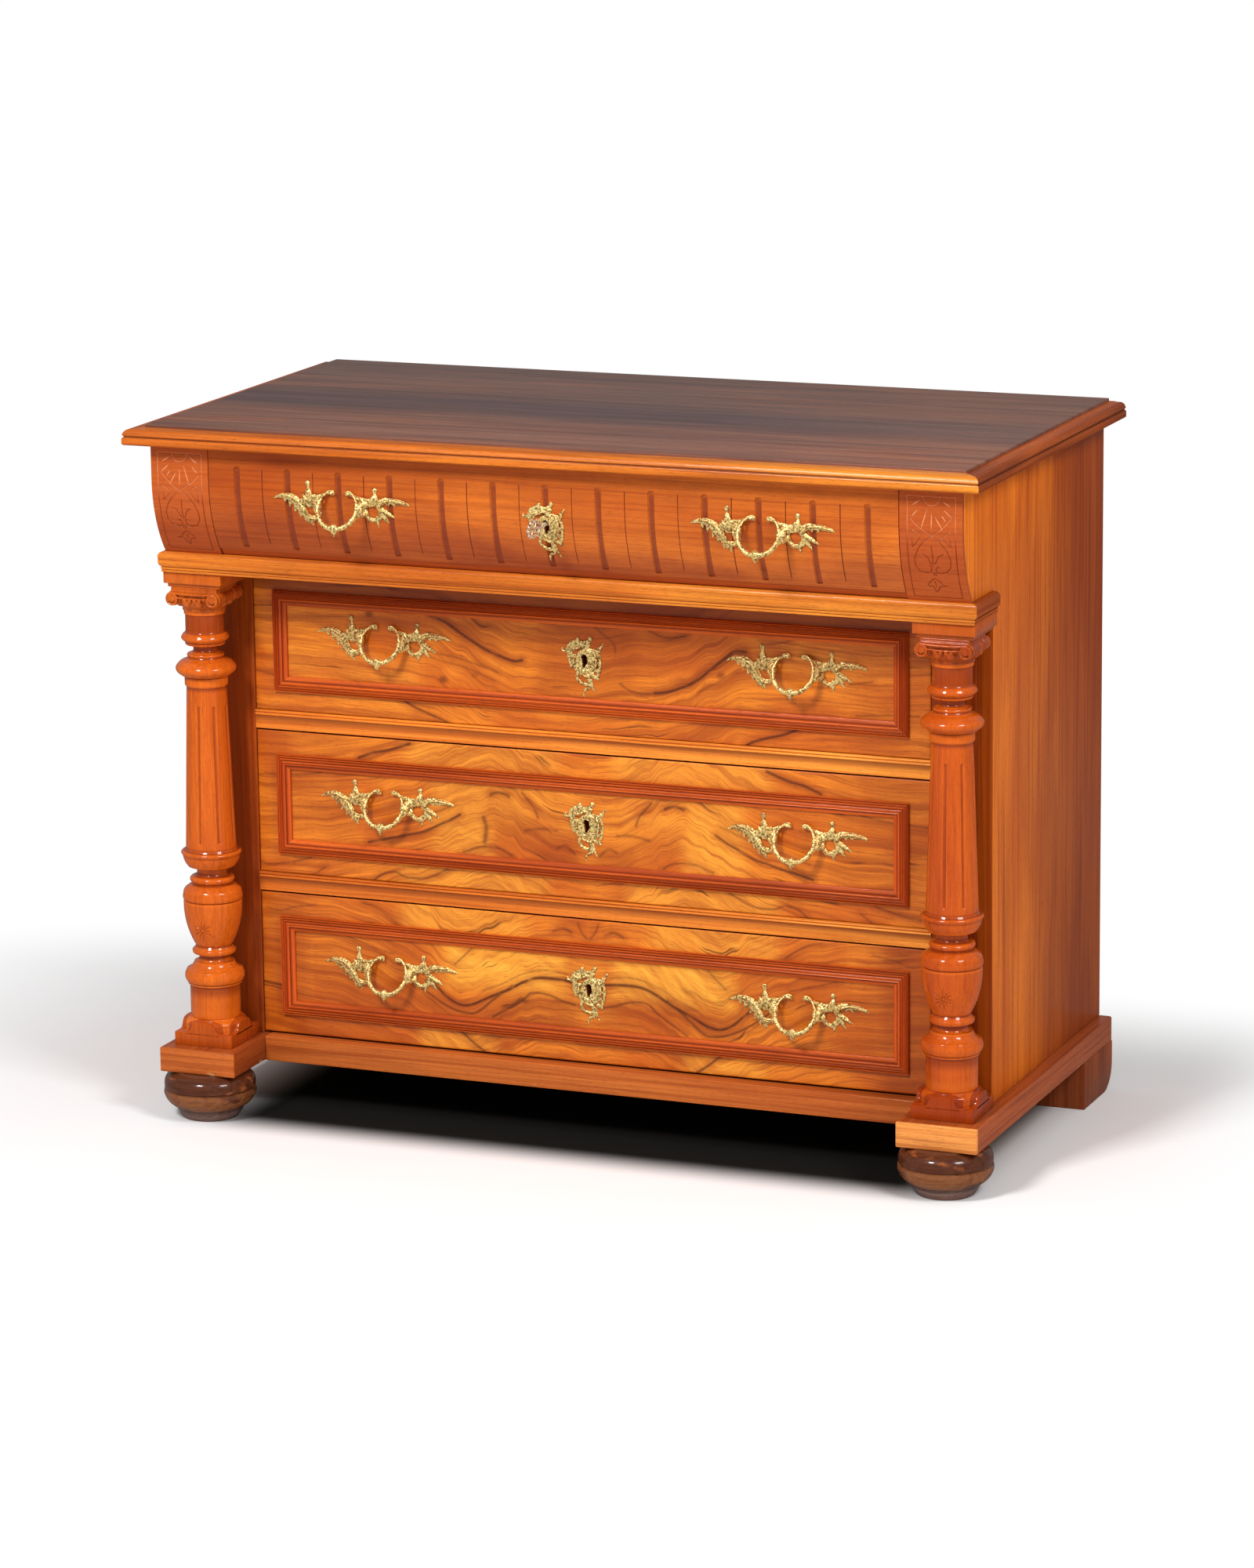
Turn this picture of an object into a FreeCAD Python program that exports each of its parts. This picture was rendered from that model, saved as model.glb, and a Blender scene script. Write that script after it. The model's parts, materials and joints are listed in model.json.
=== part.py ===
import FreeCAD, Part
import math
import os

# A walnut chest of drawers with a bulging top drawer, a cornice on two turned columns,
# three framed drawers below, and four feet. Sizes are in millimetres.
# Heights run up from the floor, widths left and right of the middle, and depths back
# from the front edge of the top. The finished pieces are moved so that the origin lies
# on the floor under the centre of the whole chest.

# Top board and its edge moulding
top_width = 1120.0
top_depth = 585.0
top_thickness = 24.0
side_overhang = 28.0
front_overhang = 24.0
back_overhang = 4.0
edge_width = 22.5
field_step = 3.6

# Feet and plinth
foot_height = 62.0
bun_radius = 59.5
bun_setback = 68.0
rear_foot_width = 65.0
rear_foot_depth = 119.0
rear_foot_round = 35.0
plinth_height = 32.0
plinth_overhang = 17.5
plinth_setback = 31.0
plinth_chamfer = 3.0
block_width = 104.5
arm_width = 45.0
base_rail_recess = 38.5

# Case
side_thickness = 20.0
column_gap = 9.0
stile_thickness = 22.0
stile_width = 58.5
lower_opening = 188.0
top_opening = 142.0
base_lip = 2.0
rail_height = 24.0
rail_depth = 52.0
bead_height = 3.4
bead_depth = 1.6
board_thickness = 18.0
bottom_board_drop = 6.0
back_thickness = 10.0
runner_width = 75.0
guide_height = 24.0
lower_drawers = 3

# Bulging upper part and cornice
bulge_depth = 33.5
bulge_height = 97.0
facing = 6.0
cornice_height = 26.0
cornice_projection = 9.0
cornice_front_projection = 6.0

# Columns
column_radius = 38.0
impost_width = 79.5
impost_height = 15.0
impost_neck = 5.0
impost_inset = 4.0
capital_height = 32.0
capital_width = 74.0
capital_depth = 62.0
abacus_height = 9.0
scroll_radius = 9.6
scroll_waist = 1.6
egg_radius = 5.6
egg_count = 12
base_ledge = 20.0
base_width = 80.0
base_height = 34.0
flute_count = 8
flute_radius = 2.5
flute_depth = 1.7

# Drawers
drawer_gap_side = 1.0
drawer_gap_top = 2.5
drawer_gap_bottom = 1.0
drawer_step = 1.0
running_gap = 0.3
front_thickness = 22.0
top_front_wall = 12.5
top_lip = 9.0
top_lip_depth = 3.0
box_side = 12.0
box_bottom = 7.0
bottom_raise = 10.0
lower_box_height = 160.0
top_box_height = 112.0
back_drop = 12.0
box_back_gap = 8.0
front_flutes = 13
front_flute_width = 9.0
front_flute_depth = 2.6
incised_width = 1.2
incised_depth = 0.9
front_flute_top = 20.0
front_flute_bottom = 8.0

# Reeded frames on the lower drawers
frame_margin_side = 28.5
frame_margin_low = 26.0
frame_margin_high = 32.0
frame_moulding = 19.0
frame_proud = 8.0

# Brass
handle_width = 183.0
handle_height = 60.0
handle_plate = 2.6
bow_radius = 26.0
bow_wire = 2.7
bow_tilt = 24.0
bow_gap_angle = 62.0
bow_shift = 4.0
bow_tip = 7.0
pin_head = 2.3
escutcheon_width = 58.0
escutcheon_height = 80.0
escutcheon_plate = 2.2
eye_width = 10.0
eye_height = 8.0

# Locks and key
lock_width = 60.0
lock_depth = 12.0
lock_wall = 1.5
selvedge = 2.5
lock_below = 22.0
bolt_width = 24.0
bolt_thickness = 5.0
bolt_throw = 9.0
bolt_above_key = 9.6
lock_gap = 0.3
mortise_gap = 1.0
keyhole_radius = 3.6
keyhole_slot = 3.4
keyhole_length = 9.0
shank_radius = 2.8
bit_reach = 8.2
bit_thickness = 2.4
bit_gap = 0.8
key_stem = 18.0
bow_length = 41.0
bow_height = 25.0
bow_thickness = 4.5
bow_border = 5.0
collar_radius = 4.6
collar_length = 3.0

# One overrun serves every cut that passes a face
overrun = 1.0

# Shares of each drawer's opening, lowest drawer first, at which the brass stands
handle_place_share = 0.609
handle_level_shares = (0.52, 0.55, 0.55, 0.565)
keyhole_level_shares = (0.524, 0.521, 0.512, 0.498)

# Share of one flute's pitch that is left over at the ends of the top drawer's front
flute_end_share = 0.12

# Where a capital's ribbon leaves its scrolls, how far its top block covers them, how much
# of its depth each end scroll takes, and how far the eggs are sunk, each as a share
scroll_mouth_share = 0.5
scroll_cover_share = 0.45
scroll_end_share = 0.26
egg_sink_share = 0.3

# The root of a bow's tip, as a share of the bow's wire
bow_tip_share = 1.4

# Turned outlines: share of the radius, share of the height, and how far the stretch that
# ends there swells outwards, as a share of the radius
column_shares = (
    (0.84, 0.000, 0.0), (0.84, 0.081, 0.0), (0.92, 0.081, 0.0), (0.84, 0.128, 0.11),
    (0.62, 0.133, -0.03), (0.50, 0.140, 0.0), (0.50, 0.154, 0.0), (0.69, 0.154, 0.0),
    (0.69, 0.174, 0.05), (0.60, 0.174, 0.0), (0.97, 0.287, 0.09), (0.94, 0.288, 0.0),
    (0.94, 0.291, 0.0), (0.98, 0.292, 0.0), (0.76, 0.326, 0.10), (0.71, 0.328, 0.0),
    (0.71, 0.346, 0.04), (0.50, 0.347, 0.0), (0.50, 0.368, 0.0), (0.90, 0.370, 0.0),
    (0.88, 0.414, 0.12), (0.85, 0.415, 0.0), (0.67, 0.818, 0.0), (0.72, 0.820, 0.0),
    (0.72, 0.832, 0.0), (0.77, 0.833, 0.0), (0.77, 0.841, 0.0), (0.90, 0.843, 0.0),
    (0.62, 0.880, 0.21), (0.60, 0.881, 0.0), (0.60, 0.893, 0.03), (0.41, 0.895, 0.0),
    (0.41, 0.912, 0.0), (0.70, 0.913, 0.0), (0.66, 0.948, 0.12), (0.65, 0.950, 0.0),
    (0.65, 0.990, 0.0), (0.69, 0.991, 0.0), (0.69, 1.000, 0.0),
)
flute_span_shares = (0.44, 0.77)
shaft_share_rows = (21, 22)
bun_shares = (
    (0.56, 0.00, 0.0), (0.76, 0.21, 0.03), (0.80, 0.21, 0.0), (0.98, 0.52, 0.08),
    (0.93, 0.54, 0.0), (0.93, 0.58, 0.0), (0.96, 0.60, 0.0), (0.62, 1.00, 0.12),
)
base_lobe_shares = (
    (1.50, 0.00, 0.0), (1.50, 0.43, 0.0), (1.30, 0.47, 0.0), (1.00, 0.72, -0.06),
    (0.98, 0.76, 0.0), (0.98, 0.86, 0.06), (0.86, 0.94, 0.0), (0.80, 1.00, 0.0),
)
echinus_shares = ((0.72, 0.00, 0.0), (0.72, 0.20, 0.0), (0.86, 0.66, 0.05), (0.86, 1.00, 0.0))

# Moulding outlines: share of the projection and share of the height
edge_shares = (
    (1.00, 0.00), (1.00, 0.44), (0.91, 0.46), (0.91, 0.53), (0.95, 0.56), (0.93, 0.66),
    (0.84, 0.79), (0.62, 0.92), (0.30, 1.00), (0.00, 1.00),
)
cornice_shares = (
    (0.30, 0.00), (0.30, 0.12), (0.55, 0.15), (0.55, 0.24), (0.42, 0.27), (0.42, 0.30),
    (0.80, 0.36), (0.98, 0.48), (1.00, 0.62), (0.86, 0.70), (0.86, 0.74), (0.92, 0.78),
    (0.80, 0.93), (0.30, 1.00), (0.00, 1.00),
)
frame_shares = (
    (0.00, 0.00), (0.00, 0.35), (0.14, 0.42), (0.40, 0.62), (0.42, 0.84), (0.56, 0.88),
    (0.58, 0.72), (0.62, 0.72), (0.65, 1.00), (0.78, 1.00), (0.80, 0.78), (0.84, 0.78),
    (0.87, 0.96), (1.00, 0.90), (1.00, 0.00),
)

# Leaf plates of a handle: share of its width from the middle of the bow, share of its height
left_plate_shares = (
    (-0.48, 0.05), (-0.42, 0.16), (-0.35, 0.20), (-0.30, 0.18), (-0.26, 0.14), (-0.255, 0.33),
    (-0.22, 0.43), (-0.195, 0.33), (-0.205, 0.24), (-0.12, 0.21), (-0.055, 0.28), (-0.02, 0.25),
    (-0.03, 0.19), (-0.08, 0.18), (-0.105, 0.04), (-0.125, -0.17), (-0.15, -0.28),
    (-0.18, -0.35), (-0.195, -0.48), (-0.24, -0.36), (-0.27, -0.26), (-0.305, -0.17),
    (-0.345, -0.13), (-0.34, 0.02), (-0.40, 0.07),
)
right_plate_shares = (
    (0.05, 0.22), (0.085, 0.28), (0.135, 0.24), (0.17, 0.17), (0.24, 0.20), (0.25, 0.36),
    (0.27, 0.42), (0.29, 0.34), (0.295, 0.20), (0.335, 0.19), (0.42, 0.22), (0.48, 0.16),
    (0.52, 0.04), (0.46, 0.04), (0.37, 0.00), (0.385, -0.17), (0.395, -0.28), (0.335, -0.17),
    (0.35, -0.36), (0.29, -0.22), (0.275, -0.44), (0.24, -0.27), (0.18, -0.28), (0.15, -0.35),
    (0.14, -0.21), (0.145, 0.02), (0.105, 0.19), (0.06, 0.19),
)
plate_eye_shares = ((-0.195, -0.12), (0.24, -0.11))
pin_place_shares = ((-0.31, 0.10), (-0.20, 0.02), (0.31, 0.09), (0.205, 0.02))
escutcheon_shares = (
    (-0.48, 0.13), (-0.37, 0.19), (-0.30, 0.24), (-0.18, 0.27), (-0.145, 0.32), (-0.08, 0.275),
    (0.00, 0.30), (0.10, 0.345), (0.17, 0.34), (0.19, 0.28), (0.135, 0.21), (0.24, 0.16),
    (0.33, 0.175), (0.42, 0.23), (0.45, 0.23), (0.38, 0.12), (0.40, 0.00), (0.40, -0.12),
    (0.345, -0.24), (0.33, -0.31), (0.19, -0.305), (0.135, -0.33), (0.19, -0.40), (0.275, -0.52),
    (0.22, -0.52), (0.12, -0.42), (0.05, -0.48), (0.03, -0.57), (-0.02, -0.61), (-0.04, -0.56),
    (-0.005, -0.46), (0.03, -0.41), (-0.075, -0.38), (-0.165, -0.31), (-0.145, -0.225),
    (-0.25, -0.17), (-0.32, -0.14), (-0.30, -0.04), (-0.355, 0.04), (-0.355, 0.10),
)
# Pierced ovals of an escutcheon: middle across and up, half width and half height
escutcheon_eye_shares = (
    (-0.185, 0.03, 0.06, 0.13), (0.26, -0.08, 0.035, 0.14), (-0.03, -0.32, 0.06, 0.03),
)

# Worked out from the sizes above
half_top = top_width / 2
half_case = half_top - side_overhang
half_inside = half_case - side_thickness
half_opening = half_inside - stile_width
column_setback = plinth_setback + base_ledge + base_width / 2
case_setback = column_setback + base_width / 2 + column_gap
case_back = top_depth - back_overhang
plinth_top = foot_height + plinth_height
half_plinth = half_case + plinth_overhang
column_x = half_plinth - block_width / 2
stile_back = case_setback + stile_thickness
bulge_foot = front_overhang + bulge_depth
top_front_back = bulge_foot + top_front_wall
rail_back = case_setback + rail_depth
back_front = case_back - back_thickness
opening_floors = [plinth_top + base_lip + level * (lower_opening + rail_height)
                  for level in range(lower_drawers)]
cornice_bottom = opening_floors[-1] + lower_opening
cornice_top = cornice_bottom + cornice_height
opening_floors.append(cornice_top)
opening_heights = [lower_opening] * lower_drawers + [top_opening]
top_underside = cornice_top + top_opening
bulge_radius = (bulge_height ** 2 + bulge_depth ** 2) / (2 * bulge_depth)
drawer_face = case_setback + drawer_step
drawer_half = half_opening - drawer_gap_side
frame_half = half_opening - frame_margin_side
front_flute_pitch = 2 * drawer_half / (front_flutes + flute_end_share)
handle_spread = half_opening * handle_place_share
capital_bottom = cornice_bottom - impost_height - impost_neck - capital_height
keyhole_levels = [floor + height * share for floor, height, share
                  in zip(opening_floors, opening_heights, keyhole_level_shares)]
handle_levels = [floor + height * share for floor, height, share
                 in zip(opening_floors, opening_heights, handle_level_shares)]


def bulge_at(height):
    """Depth of the bulging face at a height."""
    below = max(cornice_top + bulge_height - height, 0.0)
    return front_overhang + bulge_radius - math.sqrt(bulge_radius ** 2 - below ** 2)


key_level = keyhole_levels[-1]
key_front = bulge_at(key_level) - key_stem - bow_length
origin_depth = (top_depth + min(key_front, 0.0)) / 2


def point(x, y, z):
    return FreeCAD.Vector(x, y, z)


def block(x0, x1, y0, y1, z0, z1):
    return Part.makeBox(x1 - x0, y1 - y0, z1 - z0, point(x0, y0, z0))


def face_of(points):
    return Part.Face(Part.makePolygon(points + points[:1]))


def bar_along_x(outline, x0, x1):
    """A bar with an outline of (depth, height) points."""
    return face_of([point(x0, y, z) for y, z in outline]).extrude(point(x1 - x0, 0, 0))


def bar_along_y(outline, y0, y1):
    """A bar with an outline of (width, height) points."""
    return face_of([point(x, y0, z) for x, z in outline]).extrude(point(0, y1 - y0, 0))


def plate_up(outline, z0, z1):
    """A plate with an outline of (width, depth) points."""
    return face_of([point(x, y, z0) for x, y in outline]).extrude(point(0, 0, z1 - z0))


def mirrored(shape):
    return shape.mirror(point(0, 0, 0), point(1, 0, 0))


def both_sides(shape):
    return [shape, mirrored(shape)]


def turned(rows, radius, height, x, y, z):
    """A turned solid from its outline in shares."""
    places = [(radius * across, z + height * up) for across, up, swell in rows]
    edges = [Part.makeLine(point(0, 0, places[0][1]), point(places[0][0], 0, places[0][1]))]
    for (r0, z0), (r1, z1), row in zip(places, places[1:], rows[1:]):
        start, end = point(r0, 0, z0), point(r1, 0, z1)
        if row[2]:
            run = end - start
            outward = point(run.z, 0, -run.x).normalize() * (radius * row[2])
            edges.append(Part.Arc(start, (start + end) * 0.5 + outward, end).toShape())
        else:
            edges.append(Part.makeLine(start, end))
    top = places[-1]
    edges.append(Part.makeLine(point(top[0], 0, top[1]), point(0, 0, top[1])))
    edges.append(Part.makeLine(point(0, 0, top[1]), point(0, 0, places[0][1])))
    solid = Part.Face(Part.Wire(edges)).revolve(point(0, 0, 0), point(0, 0, 1), 360)
    solid.translate(point(x, y, 0))
    return solid


def bulge_line(offset, x, z0, z1):
    """The bulging outline from one height up to another, as edges with their two ends."""
    bend = min(max(cornice_top + bulge_height, z0), z1)
    middle = (z0 + bend) / 2
    low = point(x, bulge_at(z0) + offset, z0)
    through = point(x, bulge_at(middle) + offset, middle)
    joint = point(x, bulge_at(bend) + offset, bend)
    high = point(x, bulge_at(z1) + offset, z1)
    edges = []
    if bend > z0:
        edges.append(Part.Arc(low, through, joint).toShape())
    if z1 > bend:
        edges.append(Part.makeLine(joint, high))
    return edges, low, high


def bulge_shell(near, far, x0, x1, z0, z1):
    """The space between the bulging face moved back by near and by far."""
    front, front_low, front_high = bulge_line(near, x0, z0, z1)
    back, back_low, back_high = bulge_line(far, x0, z0, z1)
    lid = Part.makeLine(front_high, back_high)
    floor = Part.makeLine(back_low, front_low)
    return Part.Face(Part.Wire(front + [lid] + back[::-1] + [floor])).extrude(point(x1 - x0, 0, 0))


def bulge_to_plane(near, plane, x0, x1, z0, z1):
    """The space between the bulging face moved back by near and a flat back."""
    front, low, high = bulge_line(near, x0, z0, z1)
    back_high, back_low = point(x0, plane, z1), point(x0, plane, z0)
    edges = [Part.makeLine(high, back_high), Part.makeLine(back_high, back_low),
             Part.makeLine(back_low, low)]
    return Part.Face(Part.Wire(front + edges)).extrude(point(x1 - x0, 0, 0))


def top_outline(reach):
    """Edge moulding outline, with its back at zero and its front at the reach."""
    height = top_thickness - field_step
    return [(reach * across, top_underside + height * up) for across, up in edge_shares]


def make_top():
    inner = half_top - edge_width
    panel = block(-inner, inner, edge_width, top_depth, top_underside,
                  top_underside + top_thickness)
    return panel.cut(bolt_mortise(top_front_back, top_underside))


def make_top_moulding():
    """Three mitred lengths of edge moulding."""
    inner = half_top - edge_width
    base = top_underside
    outline = top_outline(edge_width)
    front_outline = [(edge_width, base)] + [(edge_width - out, up) for out, up in outline]
    front_bar = bar_along_x(front_outline, -half_top, half_top)
    side_bar = bar_along_y([(inner, base)] + [(inner + out, up) for out, up in outline], 0.0, top_depth)
    above = top_underside + top_thickness
    front_cut = plate_up([(-half_top, 0.0), (half_top, 0.0), (inner, edge_width), (-inner, edge_width)],
                         base, above)
    side_cut = plate_up([(half_top, 0.0), (half_top, top_depth), (inner, top_depth), (inner, edge_width)],
                        base, above)
    return [front_bar.common(front_cut)] + both_sides(side_bar.common(side_cut))


def make_side():
    """Side panel, with its upper part running forward under the top."""
    lower = block(half_inside, half_case, case_setback, case_back, plinth_top, top_underside)
    upper = bulge_to_plane(facing, case_setback, half_inside, half_case, cornice_top, top_underside)
    return lower.fuse(upper).removeSplitter()


def make_corner_block():
    """Carved block beside the top drawer: a facing over the side, and a body behind it."""
    face = bulge_shell(0.0, facing, half_opening, half_case, cornice_top, top_underside)
    body = bulge_to_plane(facing, case_setback, half_opening, half_inside, cornice_top, top_underside)
    return face.fuse(body).removeSplitter()


def make_cornice():
    front = [(case_setback, cornice_bottom)]
    front += [(bulge_foot - cornice_front_projection * out, cornice_bottom + cornice_height * up)
              for out, up in cornice_shares]
    front += [(case_setback, cornice_top)]
    right = [(half_case + cornice_projection * out, cornice_bottom + cornice_height * up)
             for out, up in cornice_shares]
    left = [(-x, z) for x, z in reversed(right)]
    reach = half_case + cornice_projection
    nearest = bulge_foot - cornice_front_projection
    long_bar = bar_along_x(front, -reach, reach)
    return long_bar.common(bar_along_y(right + left, nearest, case_setback))


def bolt_mortise(front_back, underside):
    """Pocket above a lock for its bolt."""
    half = bolt_width / 2 + mortise_gap
    middle = front_back - lock_depth / 2
    half_thick = bolt_thickness / 2 + mortise_gap
    return block(-half, half, middle - half_thick, middle + half_thick,
                 underside - overrun, underside + bolt_throw + mortise_gap)


def make_rail(floor):
    """Rail between two lower drawers, with two beads along its top edge."""
    top = floor + rail_height
    front = case_setback - bead_depth
    mid = bead_height / 2
    outline = [(rail_back, floor), (case_setback, floor), (case_setback, top - 2 * bead_height),
               (front, top - bead_height - mid), (case_setback, top - bead_height),
               (front, top - mid), (case_setback, top), (rail_back, top)]
    return bar_along_x(outline, -half_opening, half_opening).cut(
        bolt_mortise(drawer_face + front_thickness, floor))


def make_upper_rail():
    """Rail behind the cornice, which carries the front of the top drawer."""
    rail = block(-half_inside, half_inside, case_setback, rail_back, cornice_bottom, cornice_top)
    return rail.cut(bolt_mortise(drawer_face + front_thickness, cornice_bottom))


def make_runners():
    """Two runners under each drawer. The lowest pair lies on the bottom board."""
    inner = half_inside - runner_width
    arm_inner = half_plinth - arm_width
    low = block(inner, arm_inner, stile_back, back_front,
                opening_floors[0] - base_lip - bottom_board_drop, opening_floors[0])
    pieces = both_sides(low)
    for floor in opening_floors[1:]:
        pieces += both_sides(block(inner, half_inside, rail_back, back_front,
                                   floor - board_thickness, floor))
    return pieces


def make_guides():
    """Two guides beside each drawer, on the runners."""
    pieces = []
    for floor in opening_floors:
        front = case_setback if floor == cornice_top else stile_back
        pieces += both_sides(block(half_opening, half_inside, front, back_front, floor,
                                   floor + guide_height))
    return pieces


def make_bottom_board():
    half = half_plinth - arm_width
    top = plinth_top - bottom_board_drop
    return block(-half, half, stile_back, back_front, top - board_thickness, top)


def make_back():
    return block(-half_inside, half_inside, back_front, case_back, plinth_top, top_underside)


def make_stile():
    return block(half_opening, half_inside, case_setback, stile_back, plinth_top, cornice_bottom)


def make_base_rail():
    half = half_plinth - block_width
    return block(-half, half, stile_back - base_rail_recess, stile_back, foot_height, plinth_top)


def make_plinth():
    """Front block and the arm behind it, along one side."""
    inner = half_plinth - block_width
    arm_inner = half_plinth - arm_width
    outline = [(inner, plinth_setback), (half_plinth, plinth_setback),
               (half_plinth, case_back - plinth_chamfer), (half_plinth - plinth_chamfer, case_back),
               (arm_inner, case_back), (arm_inner, stile_back), (inner, stile_back)]
    return plate_up(outline, foot_height, plinth_top)


def make_bun_foot():
    return turned(bun_shares, bun_radius, foot_height, column_x, bun_setback, 0.0)


def make_rear_foot():
    """Block foot with its lower back corner rounded."""
    front = case_back - rear_foot_depth
    r = rear_foot_round
    corner = r * (1 - math.sqrt(0.5))
    x = half_plinth - rear_foot_width
    a, b, c = point(x, front, 0), point(x, case_back - r, 0), point(x, case_back, r)
    d, e = point(x, case_back, foot_height), point(x, front, foot_height)
    bend = Part.Arc(b, point(x, case_back - corner, corner), c).toShape()
    lines = [Part.makeLine(a, b), bend, Part.makeLine(c, d), Part.makeLine(d, e), Part.makeLine(e, a)]
    return Part.Face(Part.Wire(lines)).extrude(point(rear_foot_width, 0, 0))


def make_column():
    """Turned column with flutes cut along its shaft."""
    z = plinth_top + base_height
    height = capital_bottom - z
    column = turned(column_shares, column_radius, height, column_x, column_setback, z)
    low, high = [column_shares[row] for row in shaft_share_rows]
    cutters = []

    def shaft_radius(share):
        along = (share - low[1]) / (high[1] - low[1])
        return column_radius * (low[0] + along * (high[0] - low[0]))

    for turn in range(flute_count):
        angle = 2 * math.pi * turn / flute_count
        ends = []
        for share in flute_span_shares:
            r = shaft_radius(share) + flute_radius - flute_depth
            ends.append(point(column_x + r * math.sin(angle), column_setback - r * math.cos(angle),
                              z + height * share))
        run = ends[1] - ends[0]
        rod = Part.makeCylinder(flute_radius, run.Length, ends[0], run)
        cutters += [rod, Part.makeSphere(flute_radius, ends[0]), Part.makeSphere(flute_radius, ends[1])]
    return column.cut(cutters[0].multiFuse(cutters[1:]))


def scroll_slab(radius, y0, y1, level):
    """Two round scrolls joined by a ribbon along their tops."""
    reach = capital_width / 2 - scroll_radius
    mouth = radius * scroll_mouth_share
    inward = radius * math.sqrt(1 - scroll_mouth_share ** 2)

    def side(way):
        top = point(column_x + way * reach, y0, level + radius)
        foot = point(column_x + way * (reach + inward), y0, level - mouth)
        mouth_end = point(column_x + way * (reach - inward), y0, level + mouth)
        return top, foot, mouth_end

    top_r, foot_r, mouth_r = side(1)
    top_l, foot_l, mouth_l = side(-1)
    edges = [Part.makeLine(top_l, top_r), Part.Arc(top_r, foot_r, mouth_r).toShape(),
             Part.makeLine(mouth_r, mouth_l), Part.Arc(mouth_l, foot_l, top_l).toShape()]
    return Part.Face(Part.Wire(edges)).extrude(point(0, y1 - y0, 0))


def make_capital():
    """Scroll capital: two scrolls that run front to back under a block, and eggs below."""
    top = capital_bottom + capital_height
    front = column_setback - capital_depth / 2
    back = column_setback + capital_depth / 2
    level = top - abacus_height - scroll_radius * scroll_mouth_share
    end = capital_depth * scroll_end_share
    block_half = capital_width / 2 - scroll_radius * (1 - scroll_cover_share)
    pieces = [
        scroll_slab(scroll_radius, front, front + end, level),
        scroll_slab(scroll_radius - scroll_waist, front + end, back - end, level),
        scroll_slab(scroll_radius, back - end, back, level),
        block(column_x - block_half, column_x + block_half, front + scroll_waist,
              back - scroll_waist, level, top),
    ]
    core_height = level - capital_bottom
    pieces.append(turned(echinus_shares, column_radius, core_height + scroll_radius / 2,
                         column_x, column_setback, capital_bottom))
    reach = column_radius * echinus_shares[2][0] - egg_radius * egg_sink_share
    for turn in range(egg_count):
        angle = 2 * math.pi * (turn + 0.5) / egg_count
        pieces.append(Part.makeSphere(egg_radius, point(
            column_x + reach * math.sin(angle), column_setback - reach * math.cos(angle),
            capital_bottom + core_height * echinus_shares[2][1])))
    return pieces[0].multiFuse(pieces[1:])


def make_impost():
    """Square block that carries the cornice, with a narrower neck below it."""
    half = impost_width / 2
    neck_top = cornice_bottom - impost_height
    head = block(column_x - half, column_x + half, bulge_foot, case_setback, neck_top, cornice_bottom)
    inner = half - impost_inset
    neck = block(column_x - inner, column_x + inner, bulge_foot + impost_inset, case_setback,
                 neck_top - impost_neck, neck_top)
    return head.fuse(neck)


def make_column_base():
    """Square base cut out of a turned bell, which leaves an arched lobe on each face."""
    half = base_width / 2
    bell = turned(base_lobe_shares, half, base_height, column_x, column_setback, plinth_top)
    square = block(column_x - half, column_x + half, column_setback - half, column_setback + half,
                   plinth_top, plinth_top + base_height)
    return bell.common(square)


def keyhole(level, y0, y1, radius, slot):
    """Keyhole cutter: a round hole with a slot hanging from it."""
    hole = Part.makeCylinder(radius, y1 - y0, point(0, y0, level), point(0, 1, 0))
    return hole.fuse(block(-slot / 2, slot / 2, y0, y1, level - keyhole_length, level))


def lock_pocket(level, front_back, top):
    half = lock_width / 2
    return block(-half, half, front_back - lock_depth, front_back, level - lock_below, top)


def make_lower_front(index):
    floor = opening_floors[index]
    half = drawer_half
    top = floor + lower_opening - drawer_gap_top
    back = drawer_face + front_thickness
    level = keyhole_levels[index]
    front = block(-half, half, drawer_face, back, floor + drawer_gap_bottom, top)
    front = front.cut(lock_pocket(level, back, top + overrun))
    return front.cut(keyhole(level, drawer_face - overrun, back, keyhole_radius, keyhole_slot))


def flute_cutter(x, width, depth, low, high, rounded):
    """One upright groove that follows the bulging face."""
    half = width / 2
    groove = bulge_shell(-overrun, depth, x - half, x + half, low, high)
    if rounded:
        end = Part.makeCylinder(half, depth + overrun, point(x, front_overhang - overrun, high),
                                point(0, 1, 0))
        groove = groove.fuse(end)
    return groove


def make_top_front():
    """Bulging drawer front with thirteen flutes, and an incised line between each two."""
    floor = cornice_top + drawer_gap_bottom
    top = top_underside - drawer_gap_top
    half = drawer_half
    lip_top = floor + top_lip
    front = bulge_to_plane(0.0, top_front_back, -half, half, lip_top, top)
    lip = bulge_to_plane(top_lip_depth, top_front_back, -half, half, floor, lip_top)
    front = front.fuse(lip)
    high = top - front_flute_top
    low = lip_top + front_flute_bottom
    first = -(front_flutes - 1) / 2
    cutters = []
    for count in range(front_flutes):
        x = (first + count) * front_flute_pitch
        cutters.append(flute_cutter(x, front_flute_width, front_flute_depth, low, high, True))
        if count < front_flutes - 1:
            middle = x + front_flute_pitch / 2
            cutters.append(flute_cutter(middle, incised_width, incised_depth, low, high, False))
    cutters.append(lock_pocket(key_level, top_front_back, top + overrun))
    cutters.append(keyhole(key_level, front_overhang - overrun, top_front_back,
                           keyhole_radius, keyhole_slot))
    return front.cut(Part.makeCompound(cutters))


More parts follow.
